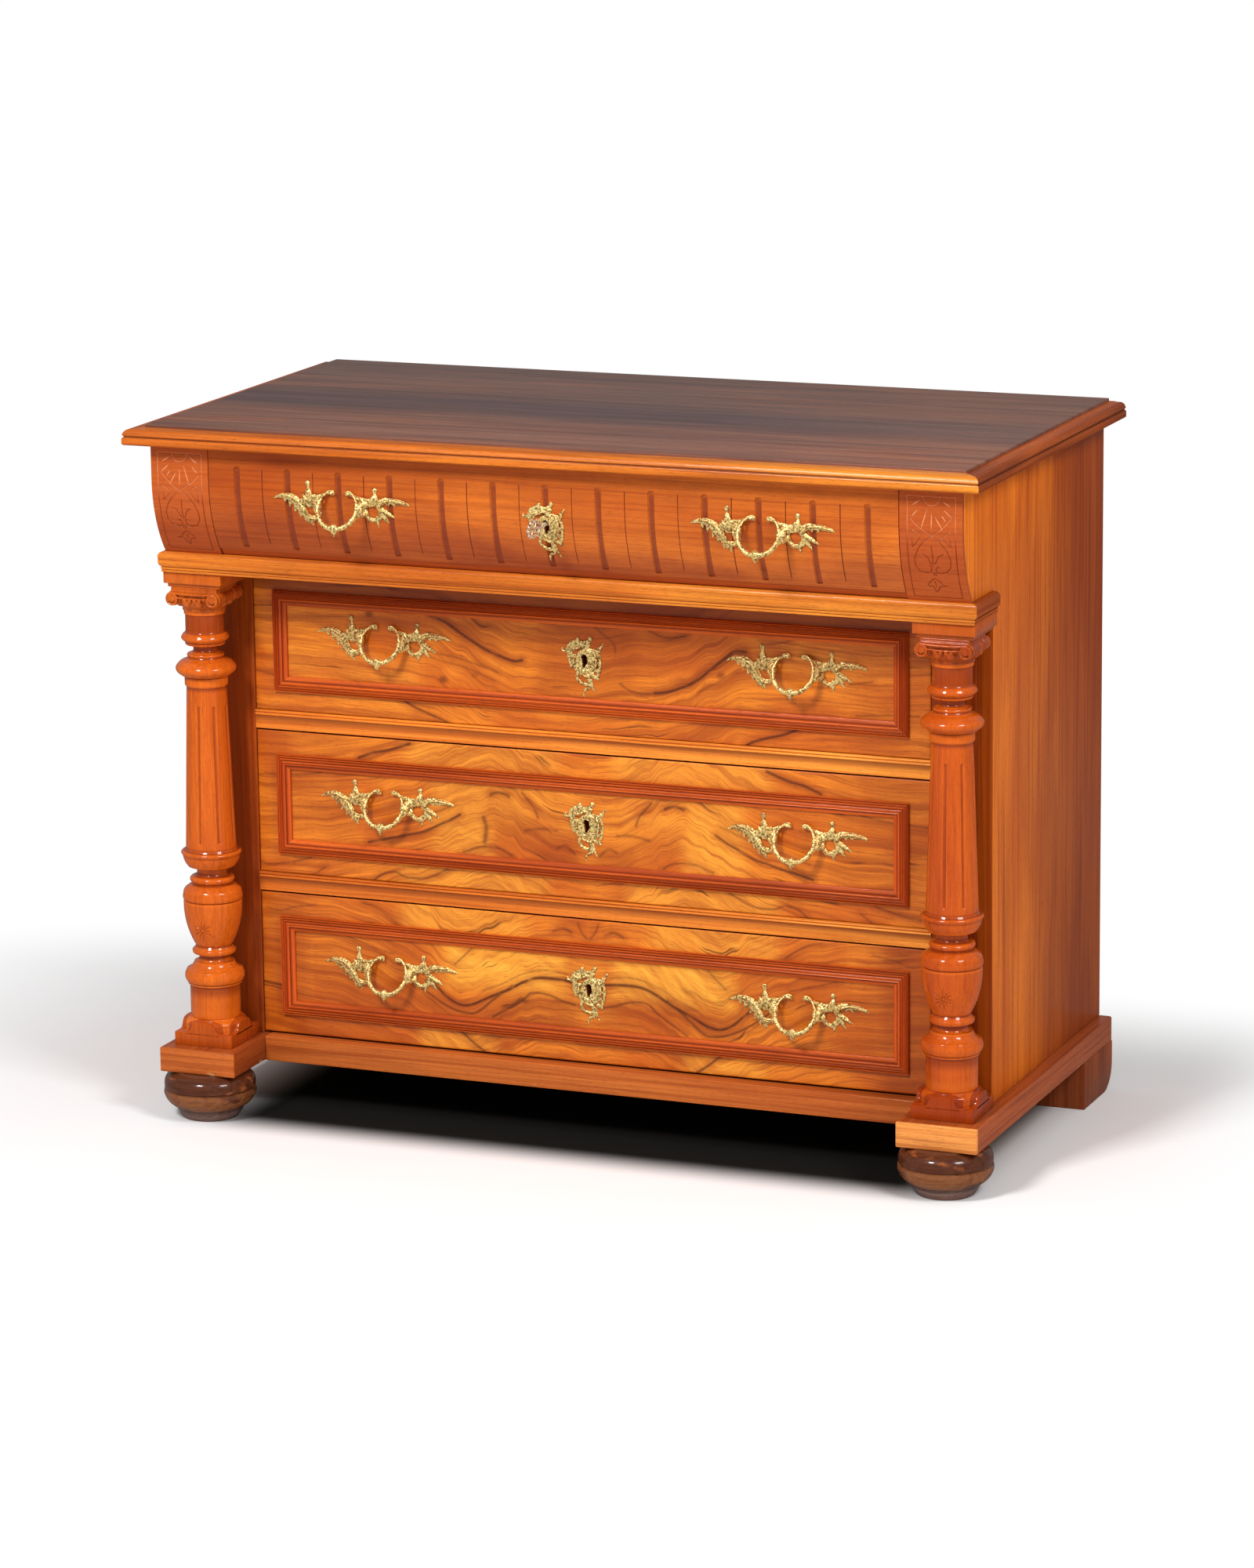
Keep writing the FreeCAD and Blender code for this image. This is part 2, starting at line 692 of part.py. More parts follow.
def make_box(index):
    """Two sides, a back and a bottom, as separate boards."""
    floor = opening_floors[index] + running_gap
    top_drawer = index == lower_drawers
    front = top_front_back if top_drawer else drawer_face + front_thickness
    height = top_box_height if top_drawer else lower_box_height
    outer = drawer_half
    inner = outer - box_side
    back = back_front - box_back_gap
    side = block(inner, outer, front, back, floor, floor + height)
    bottom_z = floor + bottom_raise
    end = block(-inner, inner, back - box_side, back, bottom_z, floor + height - back_drop)
    bottom = block(-inner, inner, front, back - box_side, bottom_z, bottom_z + box_bottom)
    return both_sides(side) + [end, bottom]


def make_frame(index):
    """Four mitred lengths of reeded moulding on a lower drawer front."""
    frame_height = lower_opening - frame_margin_low - frame_margin_high
    half_w, half_h = frame_half, frame_height / 2
    middle = opening_floors[index] + frame_margin_low + half_h
    face = drawer_face
    outline = [(frame_moulding * across, frame_proud * up) for across, up in frame_shares]
    inner_w, inner_h = half_w - frame_moulding, half_h - frame_moulding
    top_bar = bar_along_x([(face - out, middle + inner_h + across) for across, out in outline],
                          -half_w, half_w)
    mitre = [(-half_w, middle + half_h), (half_w, middle + half_h),
             (inner_w, middle + inner_h), (-inner_w, middle + inner_h)]
    top_bar = top_bar.common(bar_along_y(mitre, face - frame_proud, face))
    side_face = face_of([point(inner_w + across, face - out, middle - half_h) for across, out in outline])
    side_bar = side_face.extrude(point(0, 0, frame_height))
    mitre = [(half_w, middle - half_h), (half_w, middle + half_h),
             (inner_w, middle + inner_h), (inner_w, middle - inner_h)]
    side_bar = side_bar.common(bar_along_y(mitre, face - frame_proud, face))
    bottom_bar = top_bar.mirror(point(0, 0, middle), point(0, 0, 1))
    return [top_bar, bottom_bar] + both_sides(side_bar)


def brass_skin(index, thickness, x, reach, low, high):
    """The thin space over a drawer's face that a plate is cut from."""
    if index == lower_drawers:
        return bulge_shell(-thickness, 0.0, x - reach, x + reach, low, high)
    return block(x - reach, x + reach, drawer_face - thickness, drawer_face, low, high)


def face_depth(index, level):
    return bulge_at(level) if index == lower_drawers else drawer_face


def oval(x, z, half_w, half_h, y0, y1):
    """An oval bar along the depth, with its longer way first."""
    along = point(1, 0, 0) if half_w >= half_h else point(0, 0, 1)
    long_half, short_half = max(half_w, half_h), min(half_w, half_h)
    ring = Part.Ellipse(point(x, y0, z) + along * long_half,
                        point(x, y0, z) + along.cross(point(0, 1, 0)) * short_half,
                        point(x, y0, z))
    return Part.Face(Part.Wire(ring.toShape())).extrude(point(0, y1 - y0, 0))


def make_handle(index, side):
    """One cast handle: two leaf plates, a bow that stands off the face, and four pins."""
    x, level = side * handle_spread, handle_levels[index]
    low, high = level - handle_height, level + handle_height
    near = front_overhang - handle_height
    far = case_setback + handle_height
    skin = brass_skin(index, handle_plate, x, handle_width, low, high)
    parts = []
    for shares, eye in zip((left_plate_shares, right_plate_shares), plate_eye_shares):
        outline = [(x + handle_width * across, level + handle_height * up) for across, up in shares]
        plate = bar_along_y(outline, near, far).common(skin)
        hole = oval(x + handle_width * eye[0], level + handle_height * eye[1],
                    eye_width / 2, eye_height / 2, near, far)
        parts.append(plate.cut(hole))
    parts.append(make_bow(index, x + bow_shift, level))
    for across, up in pin_place_shares:
        z = level + handle_height * up
        y = face_depth(index, z)
        place = x + handle_width * across
        parts.append(Part.makeCylinder(pin_head, pin_head, point(place, y - handle_plate - pin_head / 2, z),
                                       point(0, 1, 0)))
    return parts[0].multiFuse(parts[1:]).removeSplitter()


def make_bow(index, x, level):
    """The open ring that the fingers take, leaning out towards its foot."""
    lean = math.radians(bow_tilt)
    root = face_depth(index, level + bow_radius) - handle_plate / 2
    normal = point(0, math.cos(lean), -math.sin(lean))
    centre = point(x, root - bow_radius * math.sin(lean), level - bow_shift)
    ring = Part.makeTorus(bow_radius, bow_wire, point(0, 0, 0), point(0, 0, 1))
    half = math.radians(bow_gap_angle / 2)
    out, up = 2 * bow_radius * math.sin(half), 2 * bow_radius * math.cos(half)
    wedge = plate_up([(0.0, 0.0), (out, up), (-out, up)], -2 * bow_wire, 2 * bow_wire)
    ring = ring.cut(wedge)
    tip = Part.makeCone(bow_wire * bow_tip_share, bow_wire / 2, bow_tip, point(0, -bow_radius, 0),
                        point(0, -1, 0))
    ring = ring.fuse(tip)
    up = point(0, math.sin(lean), math.cos(lean))
    across = point(1, 0, 0)
    frame = FreeCAD.Matrix(across.x, up.x, normal.x, centre.x,
                           across.y, up.y, normal.y, centre.y,
                           across.z, up.z, normal.z, centre.z, 0, 0, 0, 1)
    return ring.transformGeometry(frame)


def make_escutcheon(index):
    level = keyhole_levels[index]
    low, high = level - escutcheon_height, level + escutcheon_height
    near = front_overhang - escutcheon_height
    far = case_setback + escutcheon_height
    outline = [(escutcheon_width * across, level + escutcheon_height * up)
               for across, up in escutcheon_shares]
    skin = brass_skin(index, escutcheon_plate, 0.0, escutcheon_width, low, min(high, top_underside))
    plate = bar_along_y(outline, near, far).common(skin)
    holes = [oval(escutcheon_width * a, level + escutcheon_height * b, escutcheon_width * c,
                  escutcheon_height * d, near, far) for a, b, c, d in escutcheon_eye_shares]
    holes.append(keyhole(level, near, far, keyhole_radius, keyhole_slot))
    return plate.cut(Part.makeCompound(holes))


def make_lock_case(level, front_back, top):
    """Hollow case let into the back of a drawer front, with a slot for its bolt."""
    case = lock_pocket(level, front_back, top)
    half = lock_width / 2 - lock_wall
    near, far = front_back - lock_depth + lock_wall, front_back - lock_wall
    room = block(-half, half, near, far, level - lock_below + lock_wall, top - selvedge)
    middle = front_back - lock_depth / 2
    slot_w, slot_t = bolt_width / 2 + lock_gap, bolt_thickness / 2 + lock_gap
    slot = block(-slot_w, slot_w, middle - slot_t, middle + slot_t, top - selvedge, top + overrun)
    hole = keyhole(level, front_back - lock_depth - overrun, near, keyhole_radius, keyhole_slot)
    return case.cut(room).cut(slot).cut(hole)


def make_bolt(level, front_back, top):
    middle = front_back - lock_depth / 2
    half_w, half_t = bolt_width / 2, bolt_thickness / 2
    return block(-half_w, half_w, middle - half_t, middle + half_t, level + bolt_above_key, top)


def make_key():
    """Key in the top lock: a bit, a shank with a collar, and a pierced bow."""
    face = bulge_at(key_level)
    lock_near = top_front_back - lock_depth + lock_wall
    lock_far = top_front_back - lock_wall
    bow_back = face - key_stem
    end = lock_far - bit_gap
    shank = Part.makeCylinder(shank_radius, end - bow_back, point(0, bow_back, key_level), point(0, 1, 0))
    bit = block(-bit_thickness / 2, bit_thickness / 2, lock_near + bit_gap, end,
                key_level - bit_reach, key_level)
    collar = Part.makeCylinder(collar_radius, collar_length, point(0, bow_back, key_level),
                               point(0, 1, 0))
    half_l, half_h, half_t = bow_length / 2, bow_height / 2, bow_thickness / 2
    centre = point(-half_t, bow_back - half_l, key_level)
    outer = Part.Ellipse(centre + point(0, half_l, 0), centre + point(0, 0, half_h), centre)
    inner = Part.Ellipse(centre + point(0, half_l - bow_border, 0),
                         centre + point(0, 0, half_h - bow_border), centre)
    thick = point(bow_thickness, 0, 0)
    ring = Part.Face(Part.Wire(outer.toShape())).extrude(thick)
    ring = ring.cut(Part.Face(Part.Wire(inner.toShape())).extrude(thick))
    spine = block(-half_t, half_t, bow_back - bow_length + bow_border / 2, bow_back,
                  key_level - bow_border / 2, key_level + bow_border / 2)
    return shank.multiFuse([bit, collar, ring, spine]).removeSplitter()


def all_pieces():
    """Every sub-part by name."""
    pieces = {
        "top_panel": [make_top()],
        "top_edge_moulding": make_top_moulding(),
        "cornice": [make_cornice()],
        "upper_rail": [make_upper_rail()],
        "rail_middle": [make_rail(opening_floors[2] - rail_height)],
        "rail_lower": [make_rail(opening_floors[1] - rail_height)],
        "base_rail": [make_base_rail()],
        "bottom_board": [make_bottom_board()],
        "back_panel": [make_back()],
        "drawer_runners": make_runners(),
        "drawer_guides": make_guides(),
        "key": [make_key()],
    }
    paired = {
        "side_panel": make_side, "corner_block": make_corner_block, "stile": make_stile,
        "plinth": make_plinth, "bun_foot": make_bun_foot, "rear_foot": make_rear_foot,
        "column": make_column, "capital": make_capital, "impost": make_impost,
        "column_base": make_column_base,
    }
    for name, make in paired.items():
        right = make()
        pieces[name + "_right"] = [right]
        pieces[name + "_left"] = [mirrored(right)]
    for index in range(lower_drawers + 1):
        name = str(index + 1)
        top_drawer = index == lower_drawers
        back = top_front_back if top_drawer else drawer_face + front_thickness
        top = opening_floors[index] + opening_heights[index] - drawer_gap_top
        level = keyhole_levels[index]
        pieces["drawer_front_" + name] = [make_top_front() if top_drawer else make_lower_front(index)]
        pieces["drawer_box_" + name] = make_box(index)
        pieces["handles_" + name] = [make_handle(index, -1), make_handle(index, 1)]
        pieces["escutcheon_" + name] = [make_escutcheon(index)]
        pieces["lock_case_" + name] = [make_lock_case(level, back, top)]
        pieces["lock_bolt_" + name] = [make_bolt(level, back, top)]
        if not top_drawer:
            pieces["frame_moulding_" + name] = make_frame(index)
    return pieces


def main():
    os.makedirs("parts", exist_ok=True)
    for name, solids in all_pieces().items():
        shape = solids[0] if len(solids) == 1 else Part.makeCompound(solids)
        shape.translate(point(0, -origin_depth, 0))
        shape.exportStep("parts/" + name + ".step")
        print(name, "solids", len(shape.Solids), "volume", round(shape.Volume / 1000, 1), "cm3",
              "valid", shape.isValid())
    print("origin depth", round(origin_depth, 2), "key level", round(key_level, 2))


main()
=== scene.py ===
import bmesh
import bpy
import json
import math
from mathutils import Matrix, Vector, noise

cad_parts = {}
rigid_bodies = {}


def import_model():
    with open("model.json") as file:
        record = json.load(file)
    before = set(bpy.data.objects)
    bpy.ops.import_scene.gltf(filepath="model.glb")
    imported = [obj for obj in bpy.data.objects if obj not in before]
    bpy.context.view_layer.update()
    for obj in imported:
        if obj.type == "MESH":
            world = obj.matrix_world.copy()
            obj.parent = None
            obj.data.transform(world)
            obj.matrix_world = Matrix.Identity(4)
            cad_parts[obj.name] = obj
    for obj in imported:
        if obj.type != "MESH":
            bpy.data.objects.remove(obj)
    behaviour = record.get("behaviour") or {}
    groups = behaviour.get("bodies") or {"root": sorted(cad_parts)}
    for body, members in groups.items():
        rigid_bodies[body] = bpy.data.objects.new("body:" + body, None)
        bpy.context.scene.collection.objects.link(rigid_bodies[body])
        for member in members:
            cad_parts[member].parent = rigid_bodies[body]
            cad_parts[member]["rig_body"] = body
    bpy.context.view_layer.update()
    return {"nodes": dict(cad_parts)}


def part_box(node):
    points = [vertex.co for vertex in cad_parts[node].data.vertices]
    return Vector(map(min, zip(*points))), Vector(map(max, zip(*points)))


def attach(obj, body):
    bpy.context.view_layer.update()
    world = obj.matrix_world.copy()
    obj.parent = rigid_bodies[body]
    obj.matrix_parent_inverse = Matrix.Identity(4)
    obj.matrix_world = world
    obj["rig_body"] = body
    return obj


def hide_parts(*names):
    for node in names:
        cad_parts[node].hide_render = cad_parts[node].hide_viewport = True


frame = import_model()
scene = bpy.context.scene
mm = 0.001
print("frame loaded, nodes:", len(frame["nodes"]))


# Points, outlines and meshes

def closed(bm):
    # faces turned outwards
    bmesh.ops.recalc_face_normals(bm, faces=bm.faces[:])
    return bm


def newVerts(grown):
    return [item for item in grown["geom"] if isinstance(item, bmesh.types.BMVert)]


def everything(bm):
    return bm.verts[:] + bm.edges[:] + bm.faces[:]


def blockShape(low, high):
    # a plain block between two corners
    bm = bmesh.new()
    bmesh.ops.create_cube(bm, size=1.0)
    bmesh.ops.scale(bm, vec=high - low, verts=bm.verts[:])
    bmesh.ops.translate(bm, vec=(low + high) / 2, verts=bm.verts[:])
    return bm


def eased(bm, edges, width):
    # edges rounded off by a width in mm
    bmesh.ops.bevel(bm, geom=edges, offset=width * mm, offset_type="OFFSET", affect="EDGES", segments=2,
                    profile=0.5, material=-1)


def onScene(name, data):
    piece = bpy.data.objects.new(name, data)
    scene.collection.objects.link(piece)
    return piece


def smoothStep(value, low, high):
    share = min(max((value - low) / (high - low), 0.0), 1.0)
    return share * share * (3 - 2 * share)


def outline(steps, arcSteps=8):
    # (across, up) corners in mm; a third number swells the stretch that ends there outwards
    points = [Vector(steps[0][:2])]
    for step in steps[1:]:
        start, end = points[-1].copy(), Vector(step[:2])
        if len(step) > 2:
            run = end - start
            outward = Vector((run.y, -run.x)).normalized() * step[2]
            for count in range(1, arcSteps):
                share = count / arcSteps
                points.append(start + run * share + outward * 4 * share * (1 - share))
        points.append(end)
    return [(point.x * mm, point.y * mm) for point in points]


def curvePoints(knots, spacing):
    # a smooth line through knots, each a tuple of numbers, in steps of about the spacing
    points = []
    for index in range(len(knots) - 1):
        before = Vector(knots[max(index - 1, 0)])
        start, end = Vector(knots[index]), Vector(knots[index + 1])
        after = Vector(knots[min(index + 2, len(knots) - 1)])
        steps = max(int((end - start).length / spacing), 1)
        for count in range(steps):
            share = count / steps
            bend = (end - before) * share * (1 - share) ** 2 - (after - start) * share ** 2 * (1 - share)
            ease = share * share * (3 - 2 * share)
            points.append(start * (1 - ease) + end * ease + bend * 0.5)
    points.append(Vector(knots[-1]))
    return points


def cadShape(node):
    # a copy of a CAD node with its doubles merged and its flat faces joined
    bm = bmesh.new()
    bm.from_mesh(frame["nodes"][node].data)
    bmesh.ops.remove_doubles(bm, verts=bm.verts[:], dist=0.01 * mm)
    bmesh.ops.dissolve_limit(bm, angle_limit=math.radians(0.4), verts=bm.verts[:], edges=bm.edges[:])
    return bm


def extrudedBar(points, along, start, end):
    # a closed outline of points, moved from start to end along an axis
    bm = bmesh.new()
    layer = bm.verts.layers.float.new("cut")
    verts = [bm.verts.new(point) for point in points]
    face = bm.faces.new(verts)
    face.normal_update()
    # the concave corners of the outline get cut 1, which carries painted shade in the grooves
    for before, vert, after in zip(verts[-1:] + verts, verts, verts[1:] + verts[:1]):
        first, second = (vert.co - before.co).normalized(), (after.co - vert.co).normalized()
        vert[layer] = 1.0 if first.cross(second).dot(face.normal) < -0.3 else 0.0
    shift = Vector((0, 0, 0))
    shift[along] = end - start
    for vert in bm.verts:
        vert.co[along] = start
    grown = bmesh.ops.extrude_face_region(bm, geom=[face])
    bmesh.ops.translate(bm, verts=newVerts(grown), vec=shift)
    return closed(bm)


def cutAway(bm, place, outward):
    # what lies outside a plane is cut off, and the cut is closed
    cut = bmesh.ops.bisect_plane(bm, geom=everything(bm), plane_co=place, plane_no=outward,
                                 clear_outer=True)
    rim = [edge for edge in cut["geom_cut"] if isinstance(edge, bmesh.types.BMEdge)]
    bmesh.ops.contextual_create(bm, geom=rim)
    closed(bm)


def spun(points, steps, centre):
    # an outline of (radius, height) turned full circle about an upright axis
    bm = bmesh.new()
    verts = [bm.verts.new((radius, 0, height)) for radius, height in points]
    edges = [bm.edges.new(pair) for pair in zip(verts, verts[1:])]
    bmesh.ops.spin(bm, geom=verts + edges, cent=(0, 0, 0), axis=(0, 0, 1), angle=2 * math.pi,
                   steps=steps, use_merge=True)
    bmesh.ops.remove_doubles(bm, verts=bm.verts[:], dist=0.005 * mm)
    closed(bm)
    bmesh.ops.translate(bm, verts=bm.verts[:], vec=(centre.x, centre.y, 0))
    return bm


def merged(*shapes):
    whole = bmesh.new()
    holder = bpy.data.meshes.new("holder")
    for shape in shapes:
        shape.to_mesh(holder)
        shape.free()
        whole.from_mesh(holder)
    bpy.data.meshes.remove(holder)
    return whole


def mirroredShape(bm):
    # the same shape on the other side of the middle
    copy = bm.copy()
    bmesh.ops.scale(copy, vec=(-1, 1, 1), verts=copy.verts[:])
    bmesh.ops.reverse_faces(copy, faces=copy.faces[:])
    return copy


def bodyOf(node):
    return frame["nodes"][node]["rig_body"]


def makePiece(bm, name, finish, nodes, sharp=32, rounding=0.0):
    # a finished piece that stands for CAD nodes and moves with them
    mesh = bpy.data.meshes.new(name)
    bm.to_mesh(mesh)
    bm.free()
    piece = onScene(name, mesh)
    mesh.polygons.foreach_set("use_smooth", [True] * len(mesh.polygons))
    mesh.materials.append(finish)
    if rounding:
        bevel = piece.modifiers.new("Rounding", "BEVEL")
        bevel.width = rounding * mm
        bevel.segments = 2
        bevel.limit_method = "ANGLE"
        bevel.angle_limit = math.radians(sharp)
        bevel.harden_normals = True
    else:
        mesh.set_sharp_from_angle(angle=math.radians(sharp))
    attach(piece, bodyOf(nodes[0]))
    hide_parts(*nodes)
    return piece


def makePair(bm, name, finish, node, sharp=32):
    # the right-hand piece and its mirror image
    other = mirroredShape(bm)
    makePiece(bm, name + "_right", finish, [node + "_right"], sharp)
    makePiece(other, name + "_left", finish, [node + "_left"], sharp)


def settled(piece, *modifiers):
    # the mesh that a piece has once these modifiers have run
    for kind, values in modifiers:
        modifier = piece.modifiers.new(kind, kind)
        for key, value in values.items():
            setattr(modifier, key, value)
    bpy.context.view_layer.update()
    mesh = bpy.data.meshes.new_from_object(piece.evaluated_get(bpy.context.evaluated_depsgraph_get()))
    piece.modifiers.clear()
    return mesh


def throughModifiers(bm, *modifiers):
    # a bmesh put through modifiers, on an object that is then removed
    mesh = bpy.data.meshes.new("bench")
    bm.to_mesh(mesh)
    bm.free()
    bench = onScene("bench", mesh)
    result = settled(bench, *modifiers)
    shape = bmesh.new()
    shape.from_mesh(result)
    bpy.data.objects.remove(bench)
    bpy.data.meshes.remove(mesh)
    bpy.data.meshes.remove(result)
    return shape


def throughCuts(bm, *cutters):
    modifiers, benches = [], []
    for shape in cutters:
        mesh = bpy.data.meshes.new("cutter")
        shape.to_mesh(mesh)
        shape.free()
        bench = onScene("cutter", mesh)
        benches.append(bench)
        modifiers.append(("BOOLEAN", {"object": bench, "operation": "DIFFERENCE", "solver": "EXACT"}))
    result = throughModifiers(bm, *modifiers)
    for bench in benches:
        bpy.data.meshes.remove(bench.data)
    return result


def remeshed(bm, voxel):
    return throughModifiers(bm, ("REMESH", {"mode": "VOXEL", "voxel_size": voxel * mm}))


def softened(bm):
    bmesh.ops.smooth_vert(bm, verts=bm.verts[:], factor=0.5, use_axis_x=True, use_axis_y=True,
                          use_axis_z=True)
    bm.normal_update()


def markHollows(bm, gain, rounds):
    # writes how far each vertex lies below its neighbours, from 0 to 1, as the attribute hollow
    layer = bm.verts.layers.float.new("hollow")
    for vert in bm.verts:
        near = [edge.other_vert(vert).co for edge in vert.link_edges]
        middle = sum(near, Vector()) / max(len(near), 1)
        vert[layer] = 0.5 + (middle - vert.co).dot(vert.normal) * gain
    for _ in range(rounds):
        means = []
        for vert in bm.verts:
            near = [edge.other_vert(vert)[layer] for edge in vert.link_edges]
            means.append((vert[layer] + sum(near)) / (1 + len(near)))
        for vert, mean in zip(bm.verts, means):
            vert[layer] = mean
    for vert in bm.verts:
        vert[layer] = min(max(vert[layer], 0.0), 1.0)


# Shader expressions

class Wire:  # one socket in a finish; arithmetic on it adds nodes
    def __init__(self, finish, socket):
        self.finish, self.socket = finish, socket

    def __add__(self, other):
        return self.finish.maths("ADD", self, other)

    def __sub__(self, other):
        return self.finish.maths("SUBTRACT", self, other)

    def __mul__(self, other):
        return self.finish.maths("MULTIPLY", self, other)

    def __rsub__(self, other):
        return self.finish.maths("SUBTRACT", other, self)

    def __abs__(self):
        return self.finish.maths("ABSOLUTE", self)

    __radd__ = __add__
    __rmul__ = __mul__


class Finish:  # the node tree of a material or a world under construction
    def __init__(self, owner, end, constants):
        owner.use_nodes = True
        self.owner, self.tree = owner, owner.node_tree
        self.end = self.tree.nodes[end]
        for key, value in constants.items():
            self.end.inputs[key].default_value = value
        self.place = self.add("ShaderNodeTexCoord", output="Object")

    def add(self, kind, settings=None, inputs=None, output=0):
        node = self.tree.nodes.new(kind)
        for key, value in (settings or {}).items():
            setattr(node, key, value)
        for key, value in (inputs or {}).items():
            socket = node.inputs[key]
            if isinstance(value, Wire):
                self.tree.links.new(value.socket, socket)
            elif socket.type == "RGBA":
                socket.default_value = (*value, 1)
            else:
                socket.default_value = value
        return Wire(self, node.outputs[output])

    def maths(self, operation, *values):
        vector = any(isinstance(value, tuple) or isinstance(value, Wire) and value.socket.type != "VALUE"
                     for value in values)
        if vector:
            values = [value if isinstance(value, (Wire, tuple)) else (value,) * 3 for value in values]
        kind = "ShaderNodeVectorMath" if vector else "ShaderNodeMath"
        return self.add(kind, {"operation": operation}, dict(enumerate(values)))

    def axis(self, letter, place=None):
        return self.add("ShaderNodeSeparateXYZ", None, {0: place or self.place}, letter)

    @property
    def x(self):
        return self.axis("X")

    @property
    def y(self):
        return self.axis("Y")

    @property
    def z(self):
        return self.axis("Z")

    def gather(self, x, y, z):
        return self.add("ShaderNodeCombineXYZ", None, {0: x, 1: y, 2: z})

    def noise(self, place, detail=2.0, roughness=0.5, output="Fac"):
        return self.add("ShaderNodeTexNoise", None, {
            "Vector": place, "Scale": 1.0, "Detail": detail, "Roughness": roughness}, output)

    def ramp(self, value, low, high, start=0.0, end=1.0):
        return self.add("ShaderNodeMapRange", {"interpolation_type": "SMOOTHSTEP"}, {
            "Value": value, "From Min": low, "From Max": high, "To Min": start, "To Max": end})

    def mix(self, share, first, second):
        return self.add("ShaderNodeMix", {"data_type": "RGBA", "clamp_factor": True},
                        {0: share, 6: first, 7: second}, 2)

    def tinted(self, share, colour, factors):
        # the colour multiplied by factors, where the share is 1
        return self.mix(share, colour, colour * factors)

    def patches(self, place, detail, low, high, start=0.0, end=1.0):
        # noise turned into soft-edged patches
        return self.ramp(self.noise(place, detail), low, high, start, end)

    def attribute(self, name):
        return self.add("ShaderNodeAttribute", {"attribute_name": name}, None, "Fac")

    def feed(self, **sockets):
        for key, value in sockets.items():
            self.tree.links.new(value.socket, self.end.inputs[key.replace("_", " ")])

    def relief(self, height, depth):
        self.feed(Normal=self.add("ShaderNodeBump", None, {"Height": height, "Distance": depth}, "Normal"))


def newFinish(name, roughness, coat=0.0, shine=0.25, coatRoughness=0.08, metallic=0.0):
    return Finish(bpy.data.materials.new(name), "Principled BSDF", {
        "Roughness": roughness, "Coat Weight": coat, "Coat Roughness": coatRoughness,
        "Specular IOR Level": shine, "Metallic": metallic})


# Wood

# scales of the grain, along it and across it
walnut = {
    "fibre": (10.0, 560.0), "pores": (90.0, 2100.0), "zones": (1.6, 11.0), "streaks": (2.2, 190.0),
    "drift": (1.1, 5.0), "poreAmount": 0.6,
}


def woodFinish(name, along, light, dark, deep, seed, roughness=0.32, coat=0.10, shine=0.10, cuts=0.0,
               hollows=0.0, wave=1.0, streaks=0.7, tone=None):
    finish = newFinish(name, roughness, coat, shine)

    def grained(key, turn):
        # object coordinates pulled out along the grain
        length, width = walnut[key]
        scales = tuple(length if axis == along else width for axis in "xyz")
        return finish.place * scales + (turn, turn * 0.7, turn * 1.3)

    drift = finish.noise(grained("drift", seed), 2.0, output="Color")
    warped = grained("zones", seed) + (drift - (0.5, 0.5, 0.5)) * (2.2 * wave)
    zone = finish.patches(warped, 3.0, 0.32, 0.68)
    streak = finish.noise(grained("streaks", seed + 3.0) + drift * (3.0 * wave), 2.0)
    fibre = finish.noise(grained("fibre", seed + 7.0), 3.0, 0.62)
    pore = finish.patches(grained("pores", seed + 11.0), 2.0, 0.58, 0.72)
    colour = finish.mix(zone, light, dark)
    if tone:
        colour = tone(finish, colour)
    colour = finish.tinted(finish.ramp(streak, 0.44, 0.68) * streaks, colour, (0.62, 0.46, 0.4))
    colour = finish.mix(finish.ramp(fibre, 0.35, 0.75) * 0.35, colour, deep)
    colour = finish.mix(pore * walnut["poreAmount"], colour, deep)
    # painted shade in the carved grooves and lines that the attribute cut marks
    if cuts:
        colour = finish.mix(finish.ramp(finish.attribute("cut"), 0.35, 0.95) * cuts, colour, deep)
    # painted shade in the hollows and a painted highlight on the ridges
    if hollows:
        hollow = finish.attribute("hollow")
        colour = finish.mix(finish.ramp(hollow, 0.54, 0.9) * hollows, colour, deep)
        colour = finish.mix(finish.ramp(hollow, 0.44, 0.1) * 0.3, colour, light)
    finish.feed(Base_Color=colour, Roughness=roughness + (fibre - 0.5) * 0.16)
    finish.relief(fibre * 0.5 - pore, 0.00008)
    return finish.owner


topWear = {
    "band": (0.085, 0.050, 0.052), "bandMiddle": 0.005, "bandEdge": (0.03, 0.11), "bandWander": 0.12,
    "red": (0.36, 0.115, 0.05), "streak": (0.080, 0.042, 0.040),
}


def topTone(finish, colour):
    # a darker, bluish band runs along the middle of the top
    wave = finish.noise(finish.place * (2.2, 3.0, 1.0) + (3.0, 0.0, 0.0), 2.0) - 0.5
    depth = finish.y + wave * topWear["bandWander"]
    band = finish.ramp(abs(depth - topWear["bandMiddle"]), *topWear["bandEdge"], 1.0, 0.0)
    right = finish.ramp(finish.x, 0.05, 0.45)
    streak = finish.noise(finish.place * (2.5, 46.0, 1.0), 3.0)
    near = finish.ramp(finish.y * -1.0 + finish.x * 0.5, -0.2, 0.45, 0.85, 1.3)
    red = finish.noise(finish.place * (3.0, 30.0, 1.0) + (9.0, 0.0, 0.0), 3.0)
    red = finish.ramp(red, 0.5, 0.75) * 0.6 + right * 0.35
    colour = finish.mix(red, colour * near, topWear["red"])
    colour = finish.mix(band * (0.8 - right * 0.3), colour, topWear["band"])
    return finish.mix(finish.ramp(streak, 0.45, 0.72) * 0.5, colour, topWear["streak"])


def edgeTone(finish, colour):
    # the mouldings are yellower on the right
    right = finish.ramp(finish.x, -0.25, 0.5)
    return finish.tinted(right, colour, (1.16, 1.45, 1.6))


# where the painted shadow of the column on the front edge ends, in y and in z
sideColumnShadow = {"front": (-0.1358, -0.1352), "top": (0.700, 0.706)}


